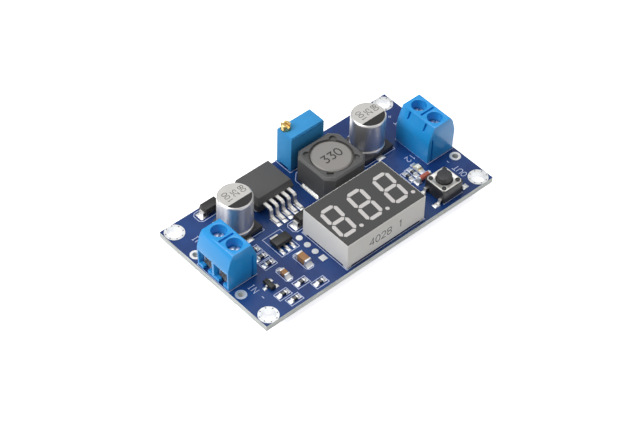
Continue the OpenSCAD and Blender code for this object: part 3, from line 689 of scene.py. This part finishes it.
class Slabs:
    """Thin flat pieces of one height, gathered into one mesh: ink, marks and plates."""

    def __init__(self, low: float, high: float, place: Matrix | None = None) -> None:
        """Starts an empty set.

        Args:
            low: The height of the undersides, in metres.
            high: The height of the tops.
            place: Turns the drawing's own frame into the module's.
        """
        self.shape = bmesh.new()
        self.low = low
        self.high = high
        self.place = place or Matrix.Identity(4)

    def _verts(self, points: list[Point], height: float) -> list[bmesh.types.BMVert]:
        """Adds points at a height."""
        return [self.shape.verts.new(self.place @ Vector((p[0], p[1], height))) for p in points]

    def polygon(self, points: list[Point]) -> None:
        """Adds a closed outline as a flat piece."""
        bottom, upper = self._verts(points, self.low), self._verts(points, self.high)
        count = len(points)
        self.shape.faces.new(upper)
        self.shape.faces.new(list(reversed(bottom)))
        for i in range(count):
            j = (i + 1) % count
            self.shape.faces.new((bottom[i], bottom[j], upper[j], upper[i]))

    def stroke(self, path: list[Point], width: float, closed: bool = False) -> None:
        """Adds a line of even width along a path.

        Args:
            path: The line's middle.
            width: Its width.
            closed: Whether it is a loop.
        """
        left, right = mitred(path, width / 2, closed)
        tops = [(self._verts([a], self.high)[0], self._verts([b], self.high)[0]) for a, b in zip(left, right)]
        lows = [(self._verts([a], self.low)[0], self._verts([b], self.low)[0]) for a, b in zip(left, right)]
        count = len(path)
        for i in range(count if closed else count - 1):
            j = (i + 1) % count
            new = self.shape.faces.new
            new((tops[i][0], tops[i][1], tops[j][1], tops[j][0]))
            new((lows[i][1], lows[i][0], lows[j][0], lows[j][1]))
            new((lows[i][0], tops[i][0], tops[j][0], lows[j][0]))
            new((tops[i][1], lows[i][1], lows[j][1], tops[j][1]))
        if not closed:
            for i in (0, count - 1):
                self.shape.faces.new((lows[i][0], lows[i][1], tops[i][1], tops[i][0]))

    def disc(self, centre: Point, radius: float, steps: int = 24) -> None:
        """Adds a round piece."""
        self.polygon(arc(centre, radius, 0, 360, steps)[:-1])

    def words(self, text: str, start: Point, height: float, turn_deg: float, width: float) -> None:
        """Draws characters in single strokes.

        Args:
            text: The characters, each one a key of STROKES.
            start: The lower left corner of the first.
            height: The characters' height.
            turn_deg: The way they run, counted from +X.
            width: The stroke's width.
        """
        turn = math.radians(turn_deg)
        across = Vector((math.cos(turn), math.sin(turn)))
        up = Vector((-across.y, across.x))
        wide = height * LETTER_WIDTH
        for i, letter in enumerate(text):
            corner = Vector(start) + across * (i * wide * LETTER_STEP)
            for line in STROKES[letter]:
                path = [tuple(corner + across * (x * wide) + up * (y * height)) for x, y in line]
                self.stroke(path, width)

    def piece(self, name: str, body: str, slot: str, finish: Finish) -> bpy.types.Object:
        """Makes the gathered pieces one object in the scene."""
        return show(object_from(self.shape, name, [finish], 30), body)


def text_width(text: str, height: float) -> float:
    """The length of a line of single-stroke characters.

    Args:
        text: The characters.
        height: Their height.

    Returns:
        The length from the first character's left edge to the last one's right edge.
    """
    return height * LETTER_WIDTH * ((len(text) - 1) * LETTER_STEP + 1)


def arc(centre: Point, radius: float, start_deg: float, end_deg: float, steps: int) -> list[Point]:
    """Points along a round arc.

    Args:
        centre: The arc's centre.
        radius: Its radius.
        start_deg: Where it starts, counted from +X.
        end_deg: Where it ends.
        steps: How many chords it has.

    Returns:
        The points, both ends included.
    """
    angles = [math.radians(start_deg + (end_deg - start_deg) * i / steps) for i in range(steps + 1)]
    return [(centre[0] + radius * math.cos(a), centre[1] + radius * math.sin(a)) for a in angles]


def round_glyph(low: float = 0.0, high: float = 1.0) -> list[Point]:
    """A character's round form, one unit wide.

    Args:
        low: The form's lowest height.
        high: Its highest.

    Returns:
        A closed path of chords.
    """
    middle, half = (low + high) / 2, (high - low) / 2
    turns = [math.radians(a) for a in range(0, 361, GLYPH_CHORD_DEG)]
    return [((1 + math.cos(a)) / 2, middle + half * math.sin(a)) for a in turns]


# Single-stroke characters in a box one unit wide and one unit high.
STROKES: dict[str, list[list[Point]]] = {
    "I": [[(0.5, 0), (0.5, 1)], [(0.25, 0), (0.75, 0)], [(0.25, 1), (0.75, 1)]],
    "N": [[(0, 0), (0, 1), (1, 0), (1, 1)]],
    "O": [round_glyph()],
    "U": [[(0, 1), (0, 0.3), (0.15, 0.08), (0.5, 0), (0.85, 0.08), (1, 0.3), (1, 1)]],
    "T": [[(0, 1), (1, 1)], [(0.5, 1), (0.5, 0)]],
    "+": [[(0.1, 0.5), (0.9, 0.5)], [(0.5, 0.22), (0.5, 0.78)]],
    "-": [[(0.1, 0.5), (0.9, 0.5)]],
    " ": [],
    "0": [round_glyph()],
    "1": [[(0.2, 0.8), (0.5, 1), (0.5, 0)]],
    "2": [[(0, 0.78), (0.2, 0.97), (0.6, 1), (0.95, 0.8), (0.85, 0.5), (0, 0), (1, 0)]],
    "3": [[(0.05, 0.95), (0.9, 0.95), (0.45, 0.58), (0.9, 0.45), (0.9, 0.15), (0.5, 0), (0.05, 0.1)]],
    "4": [[(0.75, 0), (0.75, 1), (0, 0.3), (1, 0.3)]],
    "5": [[(0.95, 1), (0.1, 1), (0.05, 0.55), (0.6, 0.6), (0.95, 0.35), (0.8, 0.05), (0.4, 0), (0, 0.1)]],
    "8": [round_glyph(0.0, 0.52), round_glyph(0.52, 1.0)],
}


class SolderWork:
    """Solder drawn up the ends of parts and pooled on pads, gathered into one mesh."""

    def __init__(self, seed: int) -> None:
        """Starts with no solder.

        Args:
            seed: Fixes the small unevenness.
        """
        self.shape = bmesh.new()
        self.luck = random.Random(seed)

    def fillet(self, foot: Vector, way: Vector, width: float, height: float, reach: float) -> None:
        """Adds a concave wedge against an upright face.

        Args:
            foot: The middle of the face's foot, on the pad.
            way: The horizontal direction away from the face.
            width: The wedge's width.
            height: How far it climbs.
            reach: How far it runs out on the pad.
        """
        across = Vector((-way.y, way.x, 0))
        rings = []
        stations = 7
        for i in range(stations):
            t = i / (stations - 1) * 2 - 1
            swell = 1 - 0.3 * t * t
            climb = height * swell * self.luck.uniform(0.88, 1.1)
            run = reach * (1 - 0.12 * t * t) * self.luck.uniform(0.92, 1.04)
            base = foot + across * (t * width / 2)
            ring = [base.copy()]
            for k in range(6):
                u = k / 5
                ring.append(base + way * (run * u) + Vector((0, 0, climb * (1 - u) ** 1.8 + 0.02 * MM * (1 - u))))
            rings.append([self.shape.verts.new(p) for p in ring])
        for a, b in zip(rings, rings[1:]):
            for k in range(len(a)):
                m = (k + 1) % len(a)
                self.shape.faces.new((a[k], b[k], b[m], a[m]))
        self.shape.faces.new(rings[0])
        self.shape.faces.new(list(reversed(rings[-1])))

    def pool(self, centre: Vector, length: float, width: float, height: float) -> None:
        """Adds a shallow uneven dome of solder on a pad.

        Args:
            centre: The middle of the pad's top.
            length: The dome's length.
            width: Its width.
            height: How high it swells.
        """
        cells = 8
        tops, lows = [], []
        for i in range(cells + 1):
            for j in range(cells + 1):
                x, y = i / cells * 2 - 1, j / cells * 2 - 1
                fall = (1 - x ** 4) * (1 - y ** 4)
                lift = height * fall * (1 + self.luck.uniform(-0.3, 0.3) * fall)
                flat = Vector((x * length / 2, y * width / 2, 0))
                tops.append(self.shape.verts.new(centre + (flat + Vector((0, 0, lift + SOLDER_FILM)))))
                lows.append(self.shape.verts.new(centre + flat))
        row = cells + 1
        for i in range(cells):
            for j in range(cells):
                a = i * row + j
                self.shape.faces.new((tops[a], tops[a + row], tops[a + row + 1], tops[a + 1]))
                self.shape.faces.new((lows[a], lows[a + 1], lows[a + row + 1], lows[a + row]))
        rim = [i * row for i in range(cells)] + [cells * row + j for j in range(cells)]
        rim += [i * row + cells for i in range(cells, 0, -1)] + [j for j in range(cells, 0, -1)]
        for a, b in zip(rim, rim[1:] + rim[:1]):
            self.shape.faces.new((tops[a], lows[a], lows[b], tops[b]))

    def piece(self, name: str, slot: str, finish: Finish) -> bpy.types.Object:
        """Makes the gathered solder one object in the scene."""
        return show(object_from(self.shape, name, [finish], 60), MODULE)


# --------------------------------------------------------------------------- sub-assemblies


@dataclass(frozen=True)
class Outline:
    """A printed line round a part, in millimetres: its clearance along X and Y, and its cut corners."""

    x_mm: float
    y_mm: float
    cut_mm: float = 0.0
    corners: tuple[int, ...] = (0, 1, 2, 3)


@dataclass(frozen=True)
class Word:
    """A printed word: the edge and the offsets in millimetres that it starts at, and the way it runs."""

    text: str
    edge: str
    x_mm: float
    y_mm: float
    turn_deg: float


# Corners are counted from the near left one.
PART_OUTLINES: dict[str, Outline] = {
    "input_terminal_housing": Outline(-0.05, 0.14),
    "input_capacitor_base": Outline(0.3, 0.3, 1.9, (2, 3)),
    "output_terminal_housing": Outline(-0.05, 0.14),
    "output_capacitor_base": Outline(0.3, 0.3, 1.9, (2, 3)),
    "display_housing": Outline(0.12, 0.12),
    "inductor_shield": Outline(0.3, 0.3, 1.7),
    "trimmer_housing": Outline(0.3, 0.15),
    "small_regulator_body": Outline(0.22, 1.95),
    "input_diode_body": Outline(1.75, 0.25, 0.65, (0, 3)),
    "catch_diode_body": Outline(1.75, 0.25, 0.65, (0, 3)),
    "switch_housing": Outline(-0.2, 0.12),
}
CERAMIC_OUTLINE = Outline(0.25, 0.25, 0.5)
WORDS: tuple[Word, ...] = (
    Word("IN -", "near", 3.95, -6.7, -90),
    Word("IN +", "near", 3.95, 11.6, -90),
    Word("OUT -", "far", -3.4, -13.1, 90),
    Word("OUT +", "far", -3.4, 5.8, 90),
    Word("12", "output", -0.55, -0.6, 180),
)


@dataclass
class Board:
    """The circuit board with its plating, legend print and solder."""

    line: float = 0.15 * MM
    ink_t: float = 0.02 * MM
    letter: float = 1.5 * MM
    via_pad_half: float = 2.3 * MM
    via_ring_r: float = 1.95 * MM
    via_r: float = 0.15 * MM
    via_count: int = 8
    via_edge: float = 0.2 * MM
    long_pad: float = 4.2 * MM
    probe_pad: float = 1.5 * MM
    toe_swell: float = 0.14 * MM
    bare_swell: float = 0.1 * MM
    end_swell: float = 0.05 * MM
    climb_part: float = 0.75
    climb_most: float = 0.8 * MM
    fillet_wide: float = 1.05
    fillet_run: float = 0.95
    near: Vector = field(init=False)
    far: Vector = field(init=False)
    ink: Slabs = field(init=False)

    def __post_init__(self) -> None:
        """Finds the board's corners and starts the legend."""
        block = node_block("circuit_board")
        self.near, self.far = block.low, block.high
        self.ink = Slabs(self.far.z - 0.005 * MM, self.far.z + self.ink_t)

    def dress(self) -> None:
        """Gives the board's own nodes their finishes."""
        dress("circuit_board", Finish.MASK)
        for node in ("mounting_hole_plating", "wire_hole_rings", "solder_pads"):
            dress(node, Finish.TIN)
        dress("solder_joints", Finish.SOLDER)

    def around(self, block: Block, outline: Outline) -> None:
        """Prints an outline round a part.

        Args:
            block: The part's box.
            outline: How the line runs.
        """
        spare_x, spare_y, cut = outline.x_mm * MM, outline.y_mm * MM, outline.cut_mm * MM
        x0, x1 = block.low.x - spare_x, block.high.x + spare_x
        y0, y1 = block.low.y - spare_y, block.high.y + spare_y
        path: list[Point] = []
        ways = ((x0, y0, 1, 1), (x1, y0, -1, 1), (x1, y1, -1, -1), (x0, y1, 1, -1))
        for i, (x, y, dx, dy) in enumerate(ways):
            if cut and i in outline.corners:
                ends = [(x, y + dy * cut), (x + dx * cut, y)]
                path += ends if i in (0, 2) else list(reversed(ends))
            else:
                path.append((x, y))
        self.ink.stroke(path, self.line, closed=True)

    def outlines(self) -> None:
        """Prints the outlines of the parts."""
        for node, outline in PART_OUTLINES.items():
            self.around(node_block(node), outline)
        pads = solids_of("solder_pads")
        for end in solids_of("ceramic_capacitor_bodies"):
            near = [p for p in pads if abs(p.centre.x - end.centre.x) < 0.5 * MM
                    and abs(p.centre.y - end.centre.y) < 3.0 * MM and p.size.x < 2 * MM]
            low = Vector((min(p.low.x for p in near), min(p.low.y for p in near), 0))
            high = Vector((max(p.high.x for p in near), max(p.high.y for p in near), 0))
            self.around(Block(low, high), CERAMIC_OUTLINE)
        for body in solids_of("chip_resistor_bodies"):
            flat = body.size.x > body.size.y
            self.around(body, Outline(1.22, 0.62) if flat else Outline(0.62, 1.22))

    def legends(self) -> None:
        """Prints IN, OUT, plus and minus beside the terminals, and a plain number."""
        edges = {"near": self.near.x, "far": self.far.x, "output": node_block("output_terminal_housing").low.x}
        middle = (self.near.y + self.far.y) / 2
        for word in WORDS:
            start = (edges[word.edge] + word.x_mm * MM, middle + word.y_mm * MM)
            self.ink.words(word.text, start, self.letter, word.turn_deg, self.line)

    def via_shade_dots(self) -> None:
        """Paints the ring of small vias in each mounting hole's pad as dark discs: painted shade standing in for
        the open via holes.
        """
        # The discs are dark epoxy laid on the tin: painted shade where the open via holes would look dark.
        dots = Slabs(self.far.z + 0.055 * MM, self.far.z + 0.07 * MM)
        for ring in solids_of("mounting_hole_plating"):
            half = self.via_pad_half
            centre_x = ring.high.x - half if ring.centre.x < 0 else ring.low.x + half
            centre_y = ring.high.y - half if ring.centre.y < 0 else ring.low.y + half
            places = arc((centre_x, centre_y), self.via_ring_r, 0, 360, 2 * self.via_count)[1::2]
            for place in places:
                if abs(place[1]) < self.far.y - self.via_edge:
                    dots.disc(place, self.via_r, 12)
        dots.piece("mounting_ring_via_painted_shade", MODULE, "tin_plating", Finish.EPOXY_DARK)

    def solder(self) -> None:
        """Adds the fillets at the chips' ends and the pools on the pads."""
        work = SolderWork(11)
        pads = [p for p in solids_of("solder_pads") if max(p.size.x, p.size.y) < self.long_pad]
        top = pads[0].high.z
        used: set[int] = set()
        for node in ("chip_resistor_ends", "ceramic_capacitor_ends", "indicator_led_ends", "glass_diode_caps"):
            for end in solids_of(node):
                pad_no = next(i for i, p in enumerate(pads) if p.holds(end.centre, 0.1 * MM))
                used.add(pad_no)
                self._end_fillet(work, pads[pad_no], end, top)
        for node in ("diode_leads", "small_regulator_leads", "transistor_leads", "switch_terminals",
                     "regulator_lead_frame", "capacitor_leads"):
            for lead in solids_of(node):
                for i, pad in enumerate(pads):
                    if i not in used and self._over(pad, lead):
                        used.add(i)
                        self._cover(work, pad, top, self.toe_swell)
        for i, pad in enumerate(pads):
            probe = all(abs(pad.size[k] - self.probe_pad) < SAME for k in (0, 1))
            if i not in used and not probe:
                self._cover(work, pad, top, self.bare_swell)
        work.piece("solder_fillets", "solder", Finish.SOLDER)

    @staticmethod
    def _over(pad: Block, lead: Block) -> bool:
        """Whether a lead's box meets a pad's in plan."""
        return all(pad.low[i] < lead.high[i] and lead.low[i] < pad.high[i] for i in (0, 1))

    def _end_fillet(self, work: SolderWork, pad: Block, end: Block, top: float) -> None:
        """Draws solder up the outer face of a chip's end.

        Args:
            work: The solder that it joins.
            pad: The pad's box.
            end: The box of the chip's end.
            top: The height of the pad's top.
        """
        offset = pad.centre - end.centre
        along_x = abs(offset.x) > abs(offset.y)
        axis = 0 if along_x else 1
        sign = 1 if offset[axis] > 0 else -1
        way = Vector((sign, 0, 0)) if along_x else Vector((0, sign, 0))
        face = end.high[axis] if sign > 0 else end.low[axis]
        rim = pad.high[axis] if sign > 0 else pad.low[axis]
        foot = Vector((face, end.centre.y, top)) if along_x else Vector((end.centre.x, face, top))
        width = end.size[1 - axis]
        climb = min(end.size.z * self.climb_part, self.climb_most)
        work.fillet(foot, way, width * self.fillet_wide, climb, abs(rim - face) * self.fillet_run)
        self._cover(work, pad, top, self.end_swell)

    @staticmethod
    def _cover(work: SolderWork, pad: Block, top: float, height: float) -> None:
        """Pools solder over a whole pad."""
        work.pool(Vector((pad.centre.x, pad.centre.y, top)), pad.size.x, pad.size.y, height)

    def build(self) -> None:
        """Makes everything on the board."""
        self.dress()
        self.outlines()
        self.legends()
        self.ink.piece("board_legend", MODULE, "board_laminate", Finish.LEGEND)
        self.via_shade_dots()
        self.solder()


class End(Enum):
    """The two ends of the module."""

    INPUT = "input"
    OUTPUT = "output"


@dataclass
class ScrewTerminal:
    """A two-pole screw terminal: softened housing, bright clamps and contacts."""

    end: End
    radius_mm: float = 0.09

    def build(self) -> None:
        """Makes the terminal's looks."""
        name = self.end.value
        soften(f"{name}_terminal_housing", Finish.TERMINAL, self.radius_mm)
        dress(f"{name}_terminal_contacts", Finish.CONTACT)
        for pole in ("a", "b"):
            dress(f"{name}_clamp_cage_{pole}", Finish.CLAMP)
            soften(f"{name}_clamp_screw_{pole}", Finish.CLAMP, 0.04, segments=2)


@dataclass
class Capacitor:
    """An electrolytic capacitor: satin can, coated top with its dark mark and plain figures."""

    end: End
    rows: tuple[str, ...] = ("100", "25", "08")
    rim: float = 0.42 * MM
    mark_offset: float = 1.45 * MM
    figure_h: float = 1.25 * MM
    row_pitch: float = 2.0 * MM
    row_offset: Point = (-1.6 * MM, 0.6 * MM)

    def build(self) -> None:
        """Makes the capacitor's looks."""
        name = self.end.value
        dress(f"{name}_capacitor_can", Finish.CAN)
        soften(f"{name}_capacitor_base", Finish.BASE, 0.12)
        can = node_block(f"{name}_capacitor_can")
        middle, top = can.centre, can.high.z
        radius = can.size.x / 2 - self.rim
        sheet = Slabs(top - 0.01 * MM, top + 0.01 * MM)
        sheet.disc((middle.x, middle.y), radius, 64)
        sheet.piece(f"{name}_capacitor_top_coating", MODULE, "capacitor_can", Finish.CAN_TOP)
        mark = Slabs(top, top + 0.022 * MM)
        half = math.degrees(math.acos(self.mark_offset / radius))
        mark.polygon(arc((middle.x, middle.y), radius + 0.1 * MM, -90 - half, -90 + half, 32))
        mark.piece(f"{name}_capacitor_polarity_mark", MODULE, "capacitor_can", Finish.CAN_MARK)
        figures = Slabs(top, top + 0.02 * MM)
        for i, text in enumerate(self.rows):
            width = text_width(text, self.figure_h)
            across = middle.x + self.row_offset[0] + i * self.row_pitch + self.figure_h / 2
            start = (across, middle.y + self.row_offset[1] - width / 2)
            figures.words(text, start, self.figure_h, 90, 0.14 * MM)
        figures.piece(f"{name}_capacitor_figures", MODULE, "capacitor_can", Finish.CAN_PRINT)


@dataclass
class Inductor:
    """The shielded inductor: dark shield with ground edges, grey drum and copper winding."""

    figures: str = "330"
    figure_h: float = 2.2 * MM
    gap: float = 0.45 * MM
    resin_drop: float = 0.3 * MM
    resin_depth: float = 0.9 * MM

    def build(self) -> None:
        """Makes the inductor's looks."""
        soften("inductor_shield", Finish.FERRITE, 0.16, Finish.FERRITE_EDGE)
        dress("inductor_drum", Finish.DRUM)
        dress("inductor_winding", Finish.WIRE)
        dress("inductor_terminals", Finish.LEAD)
        drum = node_block("inductor_drum")
        self._resin(drum)
        sign = Slabs(drum.high.z - 0.01 * MM, drum.high.z + 0.02 * MM)
        width = text_width(self.figures, self.figure_h)
        start = (drum.centre.x - width / 2, drum.centre.y - self.figure_h / 2)
        sign.words(self.figures, start, self.figure_h, 0, 0.3 * MM)
        sign.piece("inductor_figures", MODULE, "ferrite_core", Finish.PRINT_DARK)

    def _resin(self, drum: Block) -> None:
        """Fills the gap between drum and shield with a ring of resin.

        Args:
            drum: The drum's box.
        """
        high = drum.high.z - self.resin_drop
        ring = Slabs(high - self.resin_depth, high)
        middle = drum.size.x / 2 + self.gap / 2
        ring.stroke(arc((drum.centre.x, drum.centre.y), middle, 0, 360, 72)[:-1], self.gap, closed=True)
        ring.piece("inductor_resin_ring", MODULE, "ferrite_shield", Finish.POTTING)


@dataclass
class Trimmer:
    """The multi-turn trimmer: blue housing, brass screw."""

    def build(self) -> None:
        """Makes the trimmer's looks."""
        soften("trimmer_housing", Finish.TRIMMER, 0.14)
        soften("trimmer_screw", Finish.BRASS, 0.06)
        dress("trimmer_pins", Finish.LEAD)


@dataclass
class Semiconductors:
    """The regulators, diodes, transistor and microcontroller."""

    def build(self) -> None:
        """Makes the packages' looks."""
        soften("regulator_body", Finish.EPOXY, 0.1)
        dress("regulator_lead_frame", Finish.LEAD)
        for node in ("input_diode_body", "catch_diode_body", "small_regulator_body", "transistor_body",
                     "microcontroller_body"):
            soften(node, Finish.EPOXY_DARK, 0.06, segments=2)
        for node in ("diode_leads", "small_regulator_leads", "transistor_leads", "microcontroller_leads"):
            dress(node, Finish.LEAD)
        dress("glass_diode_tube", Finish.GLASS)
        dress("glass_diode_caps", Finish.TIN)


@dataclass
class SmallChips:
    """Chip resistors, ceramic capacitors and the indicator lamp."""

    def build(self) -> None:
        """Makes the chips' looks."""
        soften("ceramic_capacitor_bodies", Finish.CERAMIC, 0.05, segments=2)
        soften("ceramic_capacitor_ends", Finish.TIN, 0.07, segments=2)
        soften("chip_resistor_bodies", Finish.GLAZE, 0.02, segments=1)
        soften("chip_resistor_ends", Finish.TIN, 0.05, segments=2)
        soften("indicator_led_lens", Finish.LAMP, 0.08)
        soften("indicator_led_ends", Finish.GOLD, 0.03, segments=2)
        chips = solids_of("chip_resistor_bodies")
        top = chips[0].high.z
        code = Slabs(top - 0.01 * MM, top + 0.012 * MM)
        for chip in chips:
            flat = chip.size.x > chip.size.y
            height = 0.42 * MM
            span = text_width("103", height)
            if flat:
                start = (chip.centre.x - span / 2, chip.centre.y - height / 2)
            else:
                start = (chip.centre.x + height / 2, chip.centre.y - span / 2)
            code.words("103", start, height, 0 if flat else 90, 0.06 * MM)
        code.piece("chip_resistor_codes", MODULE, "resistor_glaze", Finish.CODE)


@dataclass
class SettingSwitch:
    """The push switch: nylon housing, pressed cover and button."""

    def build(self) -> None:
        """Makes the switch's looks."""
        soften("switch_housing", Finish.NYLON, 0.06, segments=2)
        soften("switch_cover", Finish.COVER, 0.05, segments=2)
        soften("switch_button", Finish.BUTTON, 0.05, segments=2)
        dress("switch_dome", Finish.COVER)
        dress("switch_terminals", Finish.LEAD)


@dataclass
class Display:
    """The three-digit display, with a plain number printed on its near side."""

    figures: str = "4028 1"
    figure_h: float = 2.0 * MM

    def build(self) -> None:
        """Makes the display's looks."""
        self._number()
        soften("display_housing", Finish.HOUSING, 0.08)
        dress("display_face", Finish.FACE)
        dress("display_segments", Finish.SEGMENT)
        dress("display_pins", Finish.LEAD)

    def _number(self) -> None:
        """Prints the plain number on the long side that faces the board's near edge."""
        housing = node_block("display_housing")
        width = text_width(self.figures, self.figure_h)
        turn = Matrix.Rotation(math.radians(90), 4, "X")
        place = Matrix.Translation((housing.centre.x, housing.low.y, housing.centre.z)) @ turn
        number = Slabs(-0.01 * MM, 0.015 * MM, place)
        number.words(self.figures, (-width / 2, -self.figure_h / 2), self.figure_h, 0, 0.2 * MM)
        number.piece("display_side_number", MODULE, "display_plastic", Finish.PRINT_DARK)


# --------------------------------------------------------------------------- studio


@dataclass(frozen=True)
class Softbox:
    """A rectangular studio lamp that looks at the module."""

    name: str
    azimuth_deg: float
    elevation_deg: float
    distance: float
    width: float
    depth: float
    watts: float

    def build(self, aim: Vector) -> bpy.types.Object:
        """Makes the lamp.

        Args:
            aim: The point that it looks at.

        Returns:
            The lamp object.
        """
        data = bpy.data.lights.new(self.name, "AREA")
        data.shape = "RECTANGLE"
        data.size, data.size_y = self.width, self.depth
        data.energy = self.watts
        lamp = bpy.data.objects.new(self.name, data)
        bpy.context.scene.collection.objects.link(lamp)
        back = direction(self.azimuth_deg, self.elevation_deg)
        lamp.location = aim + back * self.distance
        lamp.rotation_euler = (-back).to_track_quat("-Z", "Y").to_euler()
        return lamp


def direction(azimuth_deg: float, elevation_deg: float) -> Vector:
    """The way towards a viewer.

    Args:
        azimuth_deg: 0 is in front of the module, at -Y, and 90 at +X.
        elevation_deg: The height above the horizon.

    Returns:
        A unit vector.
    """
    a, e = math.radians(azimuth_deg), math.radians(elevation_deg)
    return Vector((math.sin(a) * math.cos(e), -math.cos(a) * math.cos(e), math.sin(e)))


@dataclass(frozen=True)
class Camera:
    """The view of the module, from its input end and display side."""

    azimuth_deg: float = -43.337
    elevation_deg: float = 46.652
    roll_deg: float = 1.914
    distance: float = 470.35 * MM
    lens: float = 122.24
    sensor: float = 36.0
    aim_xy: Point = (-3.21 * MM, -0.826 * MM)

    def build(self, height: float) -> None:
        """Makes the camera.

        Args:
            height: The height of the board's top, where the camera aims.
        """
        data = bpy.data.cameras.new("camera")
        data.lens, data.sensor_width = self.lens, self.sensor
        data.clip_start, data.clip_end = 0.01, 20.0
        camera = bpy.data.objects.new("camera", data)
        bpy.context.scene.collection.objects.link(camera)
        back = direction(self.azimuth_deg, self.elevation_deg)
        camera.location = Vector((*self.aim_xy, height)) + back * self.distance
        turn = (-back).to_track_quat("-Z", "Y").to_matrix() @ Matrix.Rotation(math.radians(self.roll_deg), 3, "Z")
        camera.rotation_euler = turn.to_euler()
        bpy.context.scene.camera = camera


@dataclass(frozen=True)
class Studio:
    """A pale sweep with soft lamps."""

    floor_size: float = 3.0
    floor_colour: float = 0.8
    glow: float = 0.78
    world: float = 0.24
    shine: float = 0.5
    lamps: tuple[Softbox, ...] = (
        Softbox("key_lamp", -112, 46, 0.55, 0.34, 0.34, 1.9),
        Softbox("top_lamp", 160, 76, 0.6, 0.5, 0.4, 1.5),
        Softbox("fill_lamp", 35, 30, 0.8, 0.6, 0.6, 0.45),
    )

    def build(self, aim: Vector) -> None:
        """Makes the floor, the world and the lamps.

        Args:
            aim: The point that the lamps look at.
        """
        self._floor()
        self._world()
        for lamp in self.lamps:
            lamp.build(aim)
        bpy.context.scene.view_settings.view_transform = "Standard"

    def _floor(self) -> None:
        """A pale plane under the module, which shows white and takes its shadow."""
        shape = bmesh.new()
        bmesh.ops.create_grid(shape, x_segments=1, y_segments=1, size=self.floor_size / 2)
        mesh = bpy.data.meshes.new("studio_floor")
        shape.to_mesh(mesh)
        shape.free()
        floor = bpy.data.objects.new("studio_floor", mesh)
        bpy.context.scene.collection.objects.link(floor)
        s = Shader("pale_floor")
        s.set(Roughness=0.9, Base_Color=(self.floor_colour,) * 3 + (1.0,))
        light = s.add("ShaderNodeEmission")
        light.inputs["Color"].default_value = (1, 1, 1, 1)
        light.inputs["Strength"].default_value = self.glow
        path = s.add("ShaderNodeLightPath")
        seen = self._any_of(s, [(path, "Is Camera Ray"), (path, "Is Glossy Ray"), (path, "Is Transmission Ray")])
        dark = s.add("ShaderNodeEmission")
        dark.inputs["Strength"].default_value = 0.0
        choose = s.add("ShaderNodeMixShader")
        s.join(seen, 0, choose, "Fac")
        s.join(dark, 0, choose, 1)
        s.join(light, 0, choose, 2)
        both = s.add("ShaderNodeAddShader")
        s.join(s.surface, 0, both, 0)
        s.join(choose, 0, both, 1)
        s.join(both, 0, s.output, "Surface")
        mesh.materials.append(s.material)

    @staticmethod
    def _any_of(s: Shader, rays: list[tuple[bpy.types.Node, str]]) -> bpy.types.Node:
        """A value that is 1 on any of the given kinds of ray."""
        total = rays[0]
        node = None
        for ray in rays[1:]:
            node = s.add("ShaderNodeMath", operation="MAXIMUM")
            s.join(total[0], total[1], node, 0)
            s.join(ray[0], ray[1], node, 1)
            total = (node, 0)
        return node

    def _world(self) -> None:
        """Even light from all round, shown as white to the eye and in reflections."""
        world = bpy.data.worlds.new("studio_world")
        bpy.context.scene.world = world
        world.use_nodes = True
        tree = world.node_tree
        back = tree.nodes["Background"]
        back.inputs["Color"].default_value = (1, 1, 1, 1)
        path = tree.nodes.new("ShaderNodeLightPath")
        pick = tree.nodes.new("ShaderNodeMath")
        pick.operation = "MAXIMUM"
        tree.links.new(path.outputs["Is Camera Ray"], pick.inputs[0])
        tree.links.new(path.outputs["Is Transmission Ray"], pick.inputs[1])
        sheen = tree.nodes.new("ShaderNodeMapRange")
        sheen.inputs["To Min"].default_value = self.world
        sheen.inputs["To Max"].default_value = self.shine
        tree.links.new(path.outputs["Is Glossy Ray"], sheen.inputs["Value"])
        level = tree.nodes.new("ShaderNodeMapRange")
        level.inputs["To Max"].default_value = 1.0
        tree.links.new(sheen.outputs["Result"], level.inputs["To Min"])
        tree.links.new(pick.outputs[0], level.inputs["Value"])
        tree.links.new(level.outputs["Result"], back.inputs["Strength"])


# --------------------------------------------------------------------------- main


def main() -> None:
    """Builds the module's looks in order, then the studio."""
    board = Board()
    parts = [board, *(ScrewTerminal(e) for e in End), *(Capacitor(e) for e in End), Inductor(), Trimmer(),
             Semiconductors(), SmallChips(), SettingSwitch(), Display()]
    for part in parts:
        log.info("building %s", type(part).__name__)
        part.build()
    Camera().build(board.far.z)
    Studio().build(Vector((0, 0, board.far.z)))


if __name__ == "__main__":
    main()
